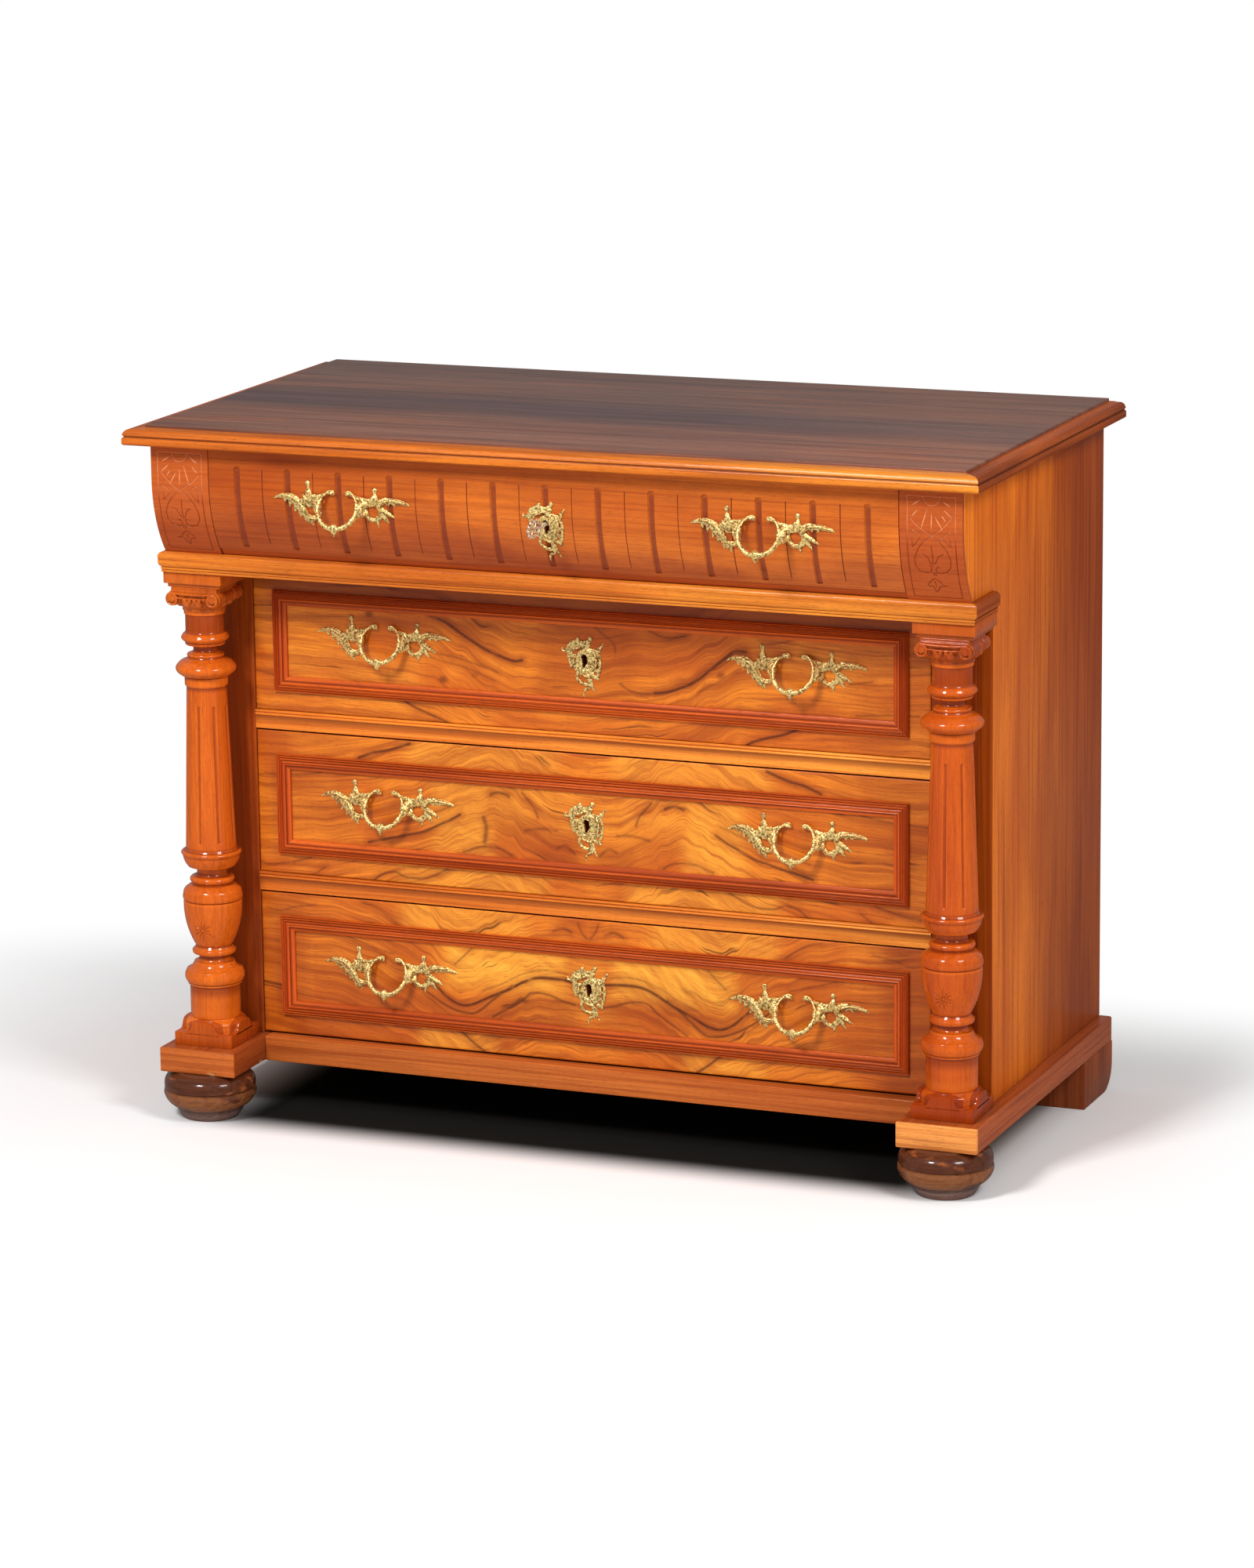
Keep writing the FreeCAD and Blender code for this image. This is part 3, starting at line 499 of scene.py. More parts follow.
def sideTone(finish, colour):
    # painted light and shade: brighter and more golden at the front, painted shade darkening towards the
    # back
    back = finish.ramp(finish.y, -0.10, 0.24)
    patch = finish.noise(finish.place * (1.0, 14.0, 2.6), 2.0)
    # painted shadow of the column: the front edge below the cornice is darkened
    edge = finish.ramp(finish.y, *sideColumnShadow["front"], 1.0, 0.0)
    edge = edge * finish.ramp(finish.z, *sideColumnShadow["top"], 1.0, 0.0)
    colour = finish.tinted(edge, colour, (0.48, 0.36, 0.4))
    # painted shade towards the back, brighter at the front
    colour = finish.mix(back, colour * (1.18, 1.12, 0.9), colour * (0.55, 0.40, 0.5))
    return finish.tinted(finish.ramp(patch, 0.5, 0.72) * 0.35, colour, (0.6, 0.5, 0.5))


# the lip's colour, partly painted shade, and the heights where the lip and the painted shade of the lower
# part end
bulgeColourAndShade = {"lip": (0.50, 0.085, 0.016), "lipTop": (0.7428, 0.7438), "lowTop": (0.755, 0.81)}


def bulgeTone(finish, colour):
    # the lip is redder and darker, its own colour with painted shade under the overhanging front; the left
    # end is redder; the lower part, which turns down and back, gets painted shade with a bluish painted
    # sheen
    height = finish.z
    lip = finish.ramp(height, *bulgeColourAndShade["lipTop"], 1.0, 0.0)
    left = finish.ramp(finish.x, -0.46, -0.05, 0.45, 0.0)
    colour = finish.tinted(left, colour, (0.62, 0.36, 0.3))
    patch = finish.noise(finish.place * (5.0, 1.0, 16.0), 2.0)
    # painted shade and sheen on the lower part of the front
    low = finish.ramp(height + (patch - 0.5) * 0.06, *bulgeColourAndShade["lowTop"], 1.0, 0.0)
    colour = finish.tinted(low * 0.7, colour, (0.66, 0.58, 1.3))
    cloud = finish.noise(finish.place * (9.0, 1.0, 26.0) + (4.0, 0.0, 0.0), 3.0)
    colour = finish.tinted(finish.ramp(cloud, 0.5, 0.68) * 0.35, colour, (0.62, 0.5, 0.7))
    return finish.mix(lip * 0.5, colour, bulgeColourAndShade["lip"])


# colours for the carving's cuts: painted shade below, painted highlight above, and the heights where they
# change
carvedCutLightAndShade = {"low": (0.22, 0.040, 0.012), "high": (0.88, 0.36, 0.16), "change": (0.80, 0.835)}


def carvedTone(finish, colour):
    # painted highlight in the cuts above and painted shade in the cuts below; the left-hand block darkens
    # to its foot
    cut = finish.ramp(finish.attribute("cut"), 0.3, 0.9)
    height = finish.z
    left = finish.ramp(finish.x, -0.1, 0.1, 1.0, 0.0)
    foot = finish.ramp(height + finish.x * 0.15, 0.735, 0.68) * left
    colour = finish.tinted(foot * 0.6, colour, (0.6, 0.45, 0.5))
    cutLightAndShade = finish.mix(finish.ramp(height, *carvedCutLightAndShade["change"]), carvedCutLightAndShade["low"], carvedCutLightAndShade["high"])
    return finish.mix(cut * 0.85, colour, cutLightAndShade)


def turnedTone(finish, colour):
    # darker and browner on the right: the right-hand column's own colour, and on the stile painted shade
    # from the column
    return finish.tinted(finish.ramp(finish.x, -0.1, 0.1), colour, (0.74, 0.58, 0.62))


def baseTone(finish, colour):
    # the lobed boards round the bell are browner
    low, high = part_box("column_base_right")
    centre, half = (low + high) / 2, (high.x - low.x) / 2
    reach = finish.maths("MAXIMUM", abs(abs(finish.x) - centre.x), abs(finish.y - centre.y))
    colour = turnedTone(finish, colour)
    return finish.tinted(finish.ramp(reach, half - 0.009, half - 0.0085), colour, (0.62, 0.5, 0.6))


plinthWear = {"faded": (0.88, 0.33, 0.075), "chipped": (0.85, 0.5, 0.22)}


def plinthTone(finish, colour):
    # the front of the right-hand block has faded to yellow, and the upper edges are worn
    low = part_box("plinth_right")[0]
    right = finish.ramp(finish.x, low.x - 0.001, low.x)
    front = finish.ramp(finish.y, low.y + 0.003, low.y + 0.005, 1.0, 0.0)
    worn = finish.noise(finish.place * (60.0, 60.0, 160.0), 3.0)
    spots = finish.ramp(worn, 0.66, 0.72) * finish.ramp(finish.z, 0.068, 0.062)
    colour = finish.mix(right * front, colour, plinthWear["faded"])
    return finish.mix(spots, colour, plinthWear["chipped"])


bunBands = {
    "foot": (0.25, 0.15, 0.125), "footTop": (0.0145, 0.0165), "bellyTop": (0.037, 0.041),
    "belly": ((0.27, 0.095, 0.030), (0.10, 0.030, 0.014)),
    "over": ((0.10, 0.028, 0.011), (0.40, 0.11, 0.03)),
}


def bunTone(finish, colour):
    # grey at the bottom, golden brown round the belly, nearly black above
    height = finish.z
    patch = finish.noise(finish.place * (28.0, 28.0, 60.0), 3.0)
    belly = finish.mix(finish.ramp(patch, 0.48, 0.66), *bunBands["belly"])
    over = finish.mix(finish.ramp(patch, 0.60, 0.72), *bunBands["over"])
    colour = finish.mix(finish.ramp(height, *bunBands["bellyTop"]), belly, over)
    return finish.mix(finish.ramp(height, *bunBands["footTop"]), bunBands["foot"], colour)


# the run of the grain, the light, dark and deepest colour, and what else differs
tones = {
    "top": ("x", (0.255, 0.112, 0.072), (0.185, 0.080, 0.055), (0.050, 0.022, 0.017), dict(
        roughness=0.42, coat=0.06, shine=0.3, tone=topTone)),
    "edge": ("x", (0.76, 0.215, 0.022), (0.54, 0.118, 0.012), (0.14, 0.026, 0.006), dict(
        cuts=0.75, tone=edgeTone)),
    "edgeSide": ("y", (0.56, 0.110, 0.010), (0.24, 0.042, 0.006), (0.07, 0.012, 0.003), dict(
        cuts=0.75, shine=0.05, coat=0.04)),
    "side": ("z", (0.80, 0.205, 0.012), (0.58, 0.120, 0.006), (0.22, 0.042, 0.005), dict(
        tone=sideTone, shine=0.10, coat=0.0)),
    # the stile's darker right-hand side is painted shade from the column
    "stile": ("z", (0.46, 0.085, 0.008), (0.28, 0.042, 0.005), (0.10, 0.016, 0.004), dict(tone=turnedTone)),
    "rail": ("x", (0.92, 0.262, 0.030), (0.67, 0.155, 0.017), (0.19, 0.037, 0.008), dict(
        cuts=0.8, wave=0.5, tone=edgeTone)),
    "carved": ("x", (0.56, 0.116, 0.020), (0.42, 0.076, 0.014), (0.28, 0.036, 0.008), dict(
        streaks=0.3, tone=carvedTone)),
    "bulge": ("x", (0.72, 0.180, 0.018), (0.48, 0.094, 0.012), (0.20, 0.036, 0.016), dict(
        cuts=0.75, streaks=0.45, tone=bulgeTone)),
    "red": ("x", (0.72, 0.130, 0.015), (0.50, 0.080, 0.009), (0.17, 0.020, 0.005),
            dict(cuts=0.8, wave=0.12)),
    "redUp": ("z", (0.72, 0.112, 0.013), (0.52, 0.074, 0.009), (0.17, 0.020, 0.005), dict(
        cuts=0.8, wave=0.12)),
    "turned": ("z", (0.84, 0.180, 0.011), (0.62, 0.110, 0.007), (0.22, 0.026, 0.005), dict(
        roughness=0.15, coat=0.5, shine=0.12, cuts=0.5, hollows=0.7, streaks=0.35, tone=turnedTone)),
    "base": ("z", (0.84, 0.180, 0.011), (0.62, 0.110, 0.007), (0.22, 0.026, 0.005), dict(
        roughness=0.20, coat=0.3, shine=0.12, streaks=0.35, tone=baseTone)),
    "capital": ("z", (0.66, 0.140, 0.013), (0.46, 0.082, 0.008), (0.16, 0.022, 0.005), dict(
        roughness=0.22, coat=0.3, shine=0.12, cuts=0.6, hollows=0.55, streaks=0.35, tone=turnedTone)),
    "plinth": ("x", (0.68, 0.180, 0.032), (0.50, 0.112, 0.020), (0.14, 0.026, 0.008),
               dict(tone=plinthTone)),
    "plinthSide": ("y", (0.50, 0.105, 0.020), (0.34, 0.066, 0.014), (0.12, 0.022, 0.006), dict(
        tone=plinthTone, shine=0.12)),
    "rear": ("z", (0.40, 0.096, 0.024), (0.23, 0.050, 0.014), (0.07, 0.014, 0.005), {}),
    "foot": ("x", (0.20, 0.070, 0.034), (0.11, 0.034, 0.018), (0.03, 0.008, 0.005), dict(
        roughness=0.24, coat=0.5, hollows=0.6, tone=bunTone)),
    "pine": ("y", (0.66, 0.42, 0.20), (0.52, 0.31, 0.14), (0.36, 0.20, 0.08),
             dict(roughness=0.6, coat=0.0)),
    "pineWide": ("x", (0.66, 0.42, 0.20), (0.52, 0.31, 0.14), (0.36, 0.20, 0.08), dict(
        roughness=0.6, coat=0.0)),
    "pineUp": ("z", (0.52, 0.32, 0.15), (0.40, 0.23, 0.10), (0.26, 0.14, 0.06), dict(
        roughness=0.65, coat=0.0)),
}
woods = {key: woodFinish(key + "Wood", along, light, dark, deep, 1.0 + count, **look)
         for count, (key, (along, light, dark, deep, look)) in enumerate(tones.items())}

# the colours of the veneer, and how its figure runs
figure = {
    "light": (0.86, 0.250, 0.016), "middle": (0.66, 0.145, 0.009), "dark": (0.32, 0.052, 0.006),
    "gold": (1.0, 0.44, 0.045), "deep": (0.07, 0.013, 0.004),
    "fibre": (900.0, 20.0), "grain": (300.0, 9.0), "bands": (75.0, 2.6), "pores": (1700.0, 110.0),
    "underCornice": (0.674, 0.679),
}


def figuredFinish(name, seed):
    # the levels, veins and gold patches come from the piece; the shader adds the grain along the levels
    finish = newFinish(name, 0.26, 0.15, 0.22)
    across = finish.x
    height = finish.z
    flat = finish.gather(across, height, seed)
    drift = finish.noise(flat * 6.0, 2.0, output="Color") - (0.5, 0.5, 0.5)
    burl = finish.noise(flat * 34.0, 2.0, output="Color") - (0.5, 0.5, 0.5)
    middle = finish.ramp(abs(across), 0.10, 0.30, 1.0, 0.25)
    level = finish.attribute("level") + finish.axis("X", drift) * 0.030
    level = level + finish.axis("Y", burl) * 0.010 * middle

    def alongLevels(key, turn):
        crosswise, lengthwise = figure[key]
        return finish.gather(level * crosswise, across * lengthwise, turn)

    band = finish.noise(alongLevels("bands", seed + 4.0), 3.0, 0.6)
    fibre = finish.noise(alongLevels("fibre", seed), 3.0, 0.62)
    patch = finish.noise(flat * (6.0, 11.0, 1.0) + drift * 1.5, 2.0)
    ripple = finish.noise(finish.gather(across * 60.0 + level * 90.0, height * 6.0, seed + 2.0), 2.0)
    line = finish.maths("PINGPONG", level * 34.0 + band * 1.6, 1.0)
    broken = finish.patches(flat * (11.0, 22.0, 1.0), 2.0, 0.50, 0.62)
    line = finish.ramp(line, 0.0, 0.10, 1.0, 0.0) * broken
    vein = finish.attribute("vein") * finish.patches(flat * (70.0, 70.0, 1.0), 2.0, 0.25, 0.5, 0.55)
    glow = finish.attribute("glow") * finish.ramp(ripple, 0.25, 0.7, 0.55, 1.0)
    colour = finish.mix(finish.ramp(patch, 0.36, 0.64), figure["middle"], figure["light"])
    colour = finish.mix(glow, colour, figure["gold"])
    colour = finish.mix(finish.ramp(band, 0.40, 0.68) * (0.68 - glow * 0.45), colour, figure["dark"])
    colour = finish.tinted(finish.attribute("shade"), colour, (0.50, 0.32, 0.36))
    # painted shadow of the cornice along the top of the highest veneered front
    under = finish.ramp(height, *figure["underCornice"])
    colour = finish.tinted(under * 0.75, colour, (0.30, 0.26, 0.34))
    colour = finish.mix(finish.ramp(fibre, 0.32, 0.72) * (0.46 - glow * 0.3), colour, figure["dark"])
    grain = finish.noise(alongLevels("grain", seed + 9.0), 2.0, 0.6)
    colour = finish.mix(finish.ramp(grain, 0.46, 0.70) * (0.55 - glow * 0.3), colour, figure["dark"])
    colour = finish.mix(line * 0.7, colour, figure["deep"])
    colour = finish.mix(vein, colour, figure["deep"])
    pores = finish.patches(alongLevels("pores", seed), 2.0, 0.60, 0.74)
    colour = finish.mix(pores * 0.6, colour, figure["deep"])
    finish.feed(Base_Color=colour, Roughness=0.24 + fibre * 0.10)
    finish.relief(fibre * 0.5 - pores - line, 0.00006)
    return finish.owner


metal = {"clouds": 160.0, "chasing": 420.0, "chasingDepth": 0.0009}


def metalFinish(name, bright, dull, deep, roughness, metallic=1.0):
    finish = newFinish(name, roughness, metallic=metallic, shine=0.5)
    cloud = finish.noise(finish.place * metal["clouds"], 3.0)
    chased = finish.noise(finish.place * metal["chasing"], 2.0)
    hollow = finish.attribute("hollow")
    colour = finish.mix(finish.ramp(cloud, 0.35, 0.7), bright, dull)
    colour = finish.mix(finish.ramp(chased, 0.53, 0.38) * 0.85, colour, deep)
    colour = finish.mix(finish.ramp(hollow, 0.52, 0.85) * 0.9, colour, deep)
    dullness = roughness + (cloud - 0.5) * 0.2 + finish.ramp(hollow, 0.5, 0.8) * 0.25
    finish.feed(Base_Color=colour, Roughness=dullness)
    finish.relief(chased, metal["chasingDepth"])
    return finish.owner


veneers = {number: figuredFinish("veneer_%d" % number, 7.0 * number) for number in (1, 2, 3)}
brass = metalFinish("brassCast", (1.0, 0.78, 0.30), (0.84, 0.54, 0.17), (0.17, 0.070, 0.016), 0.30, 0.5)
# the key's brass is near white: its own brass colour with a painted highlight for the bright bow
highlitKeyBrass = metalFinish("brassKey", (1.0, 0.90, 0.72), (0.86, 0.70, 0.46), (0.20, 0.10, 0.04), 0.18, 0.6)
iron = metalFinish("ironDark", (0.16, 0.15, 0.145), (0.10, 0.095, 0.09), (0.03, 0.028, 0.026), 0.5)
print("finishes ready")


# Straight boards: wood, slot and rounding in mm

boards = {
    "top_panel": ("top", "walnut_top", 0.9),
    "upper_rail": ("pineWide", "pine_inside", 0.6),
    "base_rail": ("plinth", "walnut_plinth", 1.3),
    "bottom_board": ("pineWide", "pine_inside", 0.8),
    "drawer_runners": ("pine", "pine_inside", 0.6),
    "drawer_guides": ("pine", "pine_inside", 0.6),
    "side_panel": ("side", "walnut_side", 1.0),
    "stile": ("stile", "walnut_side", 0.8),
    "rear_foot": ("rear", "walnut_plinth", 1.2),
    "impost": ("capital", "walnut_turned", 0.9),
}
inside = {"boxRounding": 0.7, "lockRounding": 0.4}

for name, (wood, slot, rounding) in boards.items():
    ends = ["_left", "_right"] if name + "_left" in frame["nodes"] else [""]
    for node in [name + end for end in ends]:
        makePiece(cadShape(node), "board_" + node, woods[wood], [node], rounding=rounding)
for number in (1, 2, 3, 4):
    node = "drawer_box_%d" % number
    makePiece(cadShape(node), "box_%d" % number, woods["pine"], [node],
              rounding=inside["boxRounding"])
    for node in ("lock_case_%d" % number, "lock_bolt_%d" % number):
        makePiece(cadShape(node), "metal_" + node, iron, [node], rounding=inside["lockRounding"])
print("boards ready")

backBoards = {"count": 6, "gap": 0.6, "rounding": 1.6}


def makeBack():
    low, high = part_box("back_panel")
    width, gap = (high.x - low.x) / backBoards["count"], backBoards["gap"] / 2 * mm
    shapes = []
    for count in range(backBoards["count"]):
        left, right = (low.x + width * place for place in (count, count + 1))
        bm = blockShape(Vector((left + gap, low.y, low.z)), Vector((right - gap, high.y, high.z)))
        upright = [edge for edge in bm.edges if edge.calc_length() > (high.z - low.z) * 0.99]
        eased(bm, upright, backBoards["rounding"])
        shapes.append(bm)
    makePiece(merged(*shapes), "board_back_panel", woods["pineUp"], ["back_panel"])


plinthShape = {"facing": 3.0, "rounding": 1.8}


def makePlinths():
    # the front of each block is a facing with its grain across; the length behind it runs back
    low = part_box("plinth_right")[0]
    bm = cadShape("plinth_right")
    eased(bm, bm.edges[:], plinthShape["rounding"])
    facing = bm.copy()
    joint = low + Vector((0, plinthShape["facing"] * mm, 0))
    cutAway(facing, joint, Vector((0, 1, 0)))
    cutAway(bm, joint, Vector((0, -1, 0)))
    for shape, part, wood in ((facing, "face", "plinth"), (bm, "length", "plinthSide")):
        makePair(shape, "plinth_" + part, woods[wood], "plinth")


makeBack()
makePlinths()


# Mouldings, from outlines of (out, up) in mm

topEdge = {
    "outline": [(-1.0, 0.0), (20.5, 0.0), (22.5, 1.6), (22.5, 8.2), (21.8, 9.4), (20.5, 10.0), (20.2, 10.8),
                (20.6, 11.6), (21.6, 12.2), (21.9, 13.2), (12.0, 19.6, 2.6), (6.0, 20.4), (-1.0, 20.4)],
    "width": 22.5,
}


def mitredBar(points, along, start, end, cuts):
    bm = extrudedBar(points, along, start, end)
    for place, outward in cuts:
        cutAway(bm, place, outward)
    return bm


def makeTopEdge():
    low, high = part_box("top_edge_moulding")
    points = outline(topEdge["outline"])
    inner = topEdge["width"] * mm
    front = [Vector((0, low.y + inner - out, low.z + up)) for out, up in points]
    side = [Vector((high.x - inner + out, 0, low.z + up)) for out, up in points]
    corner = Vector((high.x, low.y, low.z))
    mitre = Vector((1, 1, 0)).normalized()
    opposite = Vector((-1, 1, 0)).normalized()
    bar = mitredBar(front, 0, low.x, high.x, [(corner, mitre), (Vector((low.x, low.y, 0)), opposite)])
    right = mitredBar(side, 1, low.y, high.y, [(corner, -mitre)])
    left = mirroredShape(right)
    makePiece(bar, "edge_front", woods["edge"], ["top_edge_moulding"])
    makePiece(right, "edge_right", woods["edgeSide"], ["top_edge_moulding"])
    makePiece(left, "edge_left", woods["edgeSide"], ["top_edge_moulding"])


cornice = {
    "outline": [(0.56, 0.0), (0.60, 0.02), (0.60, 0.095), (0.50, 0.11), (0.50, 0.125), (0.64, 0.14),
                (0.66, 0.225), (0.54, 0.24), (0.56, 0.255), (0.98, 0.56, 0.06), (0.98, 0.66),
                (0.42, 1.0, 0.09)],
    "front": 6.0, "side": 9.0,
}


def makeCornice():
    low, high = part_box("cornice")
    height = (high.z - low.z) / mm
    steps = [tuple([across, up * height] + [swell * height for swell in rest])
             for across, up, *rest in cornice["outline"]]
    reach = [cornice["front"] * mm, cornice["side"] * mm]
    face, wall = low.y + reach[0], high.x - reach[1]
    points = outline([(step[0] * cornice["side"],) + step[1:] for step in steps])
    share = reach[0] / reach[1]
    depth = high.y - face
    front = [Vector((0, face - out * share, low.z + up)) for out, up in points]
    front += [Vector((0, high.y, high.z)), Vector((0, high.y, low.z))]
    side = [Vector((wall + out, 0, low.z + up)) for out, up in points]
    inner = wall - depth / share
    side += [Vector((inner, 0, high.z)), Vector((inner, 0, low.z))]
    mitre = Vector((reach[0], reach[1], 0)).normalized()
    corner = Vector((wall, face, low.z))
    left = Vector((-mitre.x, mitre.y, 0))
    bar = mitredBar(front, 0, low.x, high.x, [(corner, mitre), (Vector((-wall, face, 0)), left)])
    right = mitredBar(side, 1, low.y, high.y, [(corner, -mitre)])
    makePiece(bar, "cornice_front", woods["edge"], ["cornice"])
    makePiece(mirroredShape(right), "cornice_left", woods["edgeSide"], ["cornice"])
    makePiece(right, "cornice_right", woods["edgeSide"], ["cornice"])


rail = {"bead": 3.4, "proud": 1.6, "beads": 2, "quirk": 0.4, "boltThrow": 9.0, "boltGap": 1.0}
lockBelow = {"rail_middle": 2, "rail_lower": 1}


def sinkPocket(bm, low, high):
    # a square pocket in the underside of a bar, open below
    for axis in (0, 1):
        for place in (low, high):
            direction = Vector((0, 0, 0))
            direction[axis] = 1.0
            bmesh.ops.bisect_plane(bm, geom=everything(bm), plane_co=place, plane_no=direction)
    bm.normal_update()
    mouth = [face for face in bm.faces if face.normal.z < -0.9
             and all(low[axis] < face.calc_center_median()[axis] < high[axis] for axis in (0, 1))]
    grown = bmesh.ops.extrude_face_region(bm, geom=mouth)
    for vert in newVerts(grown):
        vert.co.z = high.z
    bmesh.ops.delete(bm, geom=mouth, context="FACES_ONLY")
    return closed(bm)


def makeRail(node):
    low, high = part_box(node)
    face = low.y + rail["proud"] * mm
    bead, quirk = rail["bead"], rail["quirk"]
    steps = [(0.0, 0.0), (0.0, (high.z - low.z) / mm - bead * rail["beads"] - quirk * (rail["beads"] - 1))]
    for count in range(rail["beads"]):
        steps.append((0.0, steps[-1][1] + bead, rail["proud"]))
        steps.append((-0.5, steps[-1][1] + quirk / 2))
        steps.append((0.0, steps[-1][1] + quirk / 2))
    points = [Vector((0, face - out, low.z + up)) for out, up in outline(steps[:-2])]
    points += [Vector((0, high.y, high.z)), Vector((0, high.y, low.z))]
    # the pocket into which the bolt of the lock below rises
    boltLow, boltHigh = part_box("lock_bolt_%d" % lockBelow[node])
    gap = Vector((rail["boltGap"] * mm,) * 3)
    throw = Vector((0, 0, rail["boltThrow"] * mm))
    bm = sinkPocket(extrudedBar(points, 0, low.x, high.x), boltLow - gap, boltHigh + gap + throw)
    makePiece(bm, "board_" + node, woods["rail"], [node])


reeded = {
    "outline": [(0.0, 0.0), (0.0, 2.6), (0.6, 3.2), (5.6, 4.6), (6.0, 5.4), (6.0, 6.2), (8.6, 6.6, 0.7),
                (8.9, 5.4), (9.5, 5.2), (12.4, 5.8, 1.4), (12.6, 5.2), (13.2, 5.2), (15.8, 5.6, 1.7),
                (16.0, 5.0), (16.5, 5.0), (18.6, 4.8, 1.6), (19.0, 3.8), (19.0, 0.0)],
    "width": 19.0,
}


def makeFrame(number):
    node = "frame_moulding_%d" % number
    low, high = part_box(node)
    width = reeded["width"] * mm
    points = outline(reeded["outline"])
    top = [Vector((0, high.y - out, high.z - width + across)) for across, out in points]
    foot = [Vector((0, high.y - out, low.z + width - across)) for across, out in points]
    right = [Vector((high.x - width + across, high.y - out, 0)) for across, out in points]
    left = [Vector((low.x + width - across, high.y - out, 0)) for across, out in points]
    slopes = {end: Vector(end).normalized() for end in ((1, 0, 1), (1, 0, -1), (-1, 0, 1), (-1, 0, -1))}
    upRight, downRight = Vector((high.x, 0, high.z)), Vector((high.x, 0, low.z))
    upLeft, downLeft = Vector((low.x, 0, high.z)), Vector((low.x, 0, low.z))
    bars = [
        mitredBar(top, 0, low.x, high.x, [(upRight, slopes[1, 0, -1]), (upLeft, slopes[-1, 0, -1])]),
        mitredBar(foot, 0, low.x, high.x, [(downRight, slopes[1, 0, 1]), (downLeft, slopes[-1, 0, 1])]),
        mitredBar(right, 2, low.z, high.z, [(upRight, slopes[-1, 0, 1]), (downRight, slopes[-1, 0, -1])]),
        mitredBar(left, 2, low.z, high.z, [(upLeft, slopes[1, 0, 1]), (downLeft, slopes[1, 0, -1])]),
    ]
    makePiece(merged(*bars[:2]), "frame_long_%d" % number, woods["red"], [node])
    makePiece(merged(*bars[2:]), "frame_short_%d" % number, woods["redUp"], [node])


makeTopEdge()
makeCornice()
makeRail("rail_middle")
makeRail("rail_lower")
for number in (1, 2, 3):
    makeFrame(number)
print("mouldings ready")


# Turned columns, bases and feet: (radius, height) in mm

columnShape = {
    "foot": [(0, 128), (31.6, 128), (32.1, 129), (32.1, 169.4), (34.0, 169.8), (34.6, 171.2), (34.4, 173.2),
             (36.2, 174.0), (36.4, 187.6, 2.0), (34.8, 189.4, 0.4), (26.4, 197.6, -1.3), (25.8, 199.2),
             (19.6, 203.5, -1.6), (19.2, 206), (19.4, 209.2), (26.4, 209.8), (27.6, 212.0, 0.4),
             (27.4, 215.2, 0.4), (24.2, 218.6, -0.4), (23.1, 220.3)],
    "vase": (37.3, 279.4, 4.2),
    "neck": [(36.0, 280.2), (36.0, 281.0), (37.6, 281.8), (37.4, 288.5, 0.7), (32.2, 297.4, 1.6),
             (27.0, 300.4, 0.4), (25.4, 301.6), (25.8, 303.2), (27.4, 304.4), (26.8, 310.4, 1.4),
             (22, 311.4), (19.4, 313.5), (19.2, 316), (19.6, 321.5, -0.3), (26, 322.8), (30.2, 324.2),
             (36.6, 338.6, 1.2), (38.2, 341.2), (38.4, 343.2, 0.3), (36.4, 345.0, 0.3), (34.2, 345.4),
             (33.4, 347.0), (32.3, 348.6)],
    "shaftTop": (25.6, 555.5),
    "head": [(25.8, 558), (27.4, 559.8), (27.6, 561), (27.6, 570), (26.5, 571.3), (31.4, 572.4),
             (32.0, 574.0), (36.4, 576.4, 0.6), (35.4, 587.2, 2.6), (27.4, 592.4, 0.9), (23.4, 594.4, -0.2),
             (22.8, 596.0), (23.6, 597.4), (23.0, 600.0, 0.3), (17.0, 602.4, -0.6), (15.5, 604),
             (15.5, 608.5), (17.5, 610.6), (24.5, 611.6), (25.6, 613.4, 0.2), (25.0, 615.6),
             (28.6, 617.8, 0.5), (29.6, 623.0, 1.3), (26.0, 627.0, 0.5), (24.9, 628.6), (24.6, 630.5),
             (24.6, 651), (26, 651.8), (26, 656), (0, 656)],
    "steps": 192, "hollows": 2200.0, "rowLeast": 0.7, "rowMost": 16.0, "rowGrowth": 0.35, "rowMargin": 2.0,
    "flutes": 8, "fluteWidth": 4.7, "fluteDepth": 1.5, "fluteLow": 357.0, "fluteHigh": 535.0,
    "fluteRadius": 26.0, "crowded": 0.45,
    "starLevel": 245.0, "starRays": 12, "starReach": 13.0, "starWidth": 0.9, "starDepth": 0.9,
    "starShort": 0.78, "starHub": (0.6, 2.2),
}


def shaftRows():
    # heights along the shaft, close together where the flutes end
    low, high = columnShape["neck"][-1][1], columnShape["shaftTop"][1]
    rows = [low + columnShape["rowMargin"]]
    while rows[-1] < high - columnShape["rowMargin"]:
        near = min(abs(rows[-1] - columnShape["fluteLow"]), abs(rows[-1] - columnShape["fluteHigh"]))
        step = max(near * columnShape["rowGrowth"], columnShape["rowLeast"])
        rows.append(rows[-1] + min(step, columnShape["rowMost"]))
    return rows[:-1]


def columnOutline():
    foot = outline(columnShape["foot"])
    start = columnShape["foot"][-1]
    vase = outline([start, columnShape["vase"]], arcSteps=30)[1:]
    neck = outline([columnShape["vase"][:2]] + columnShape["neck"])[1:]
    bottom, top = columnShape["neck"][-1], columnShape["shaftTop"]
    shaft = []
    for height in shaftRows():
        share = (height - bottom[1]) / (top[1] - bottom[1])
        shaft.append(((bottom[0] + (top[0] - bottom[0]) * share) * mm, height * mm))
    head = outline([top] + columnShape["head"])
    return foot + vase + neck + shaft + head


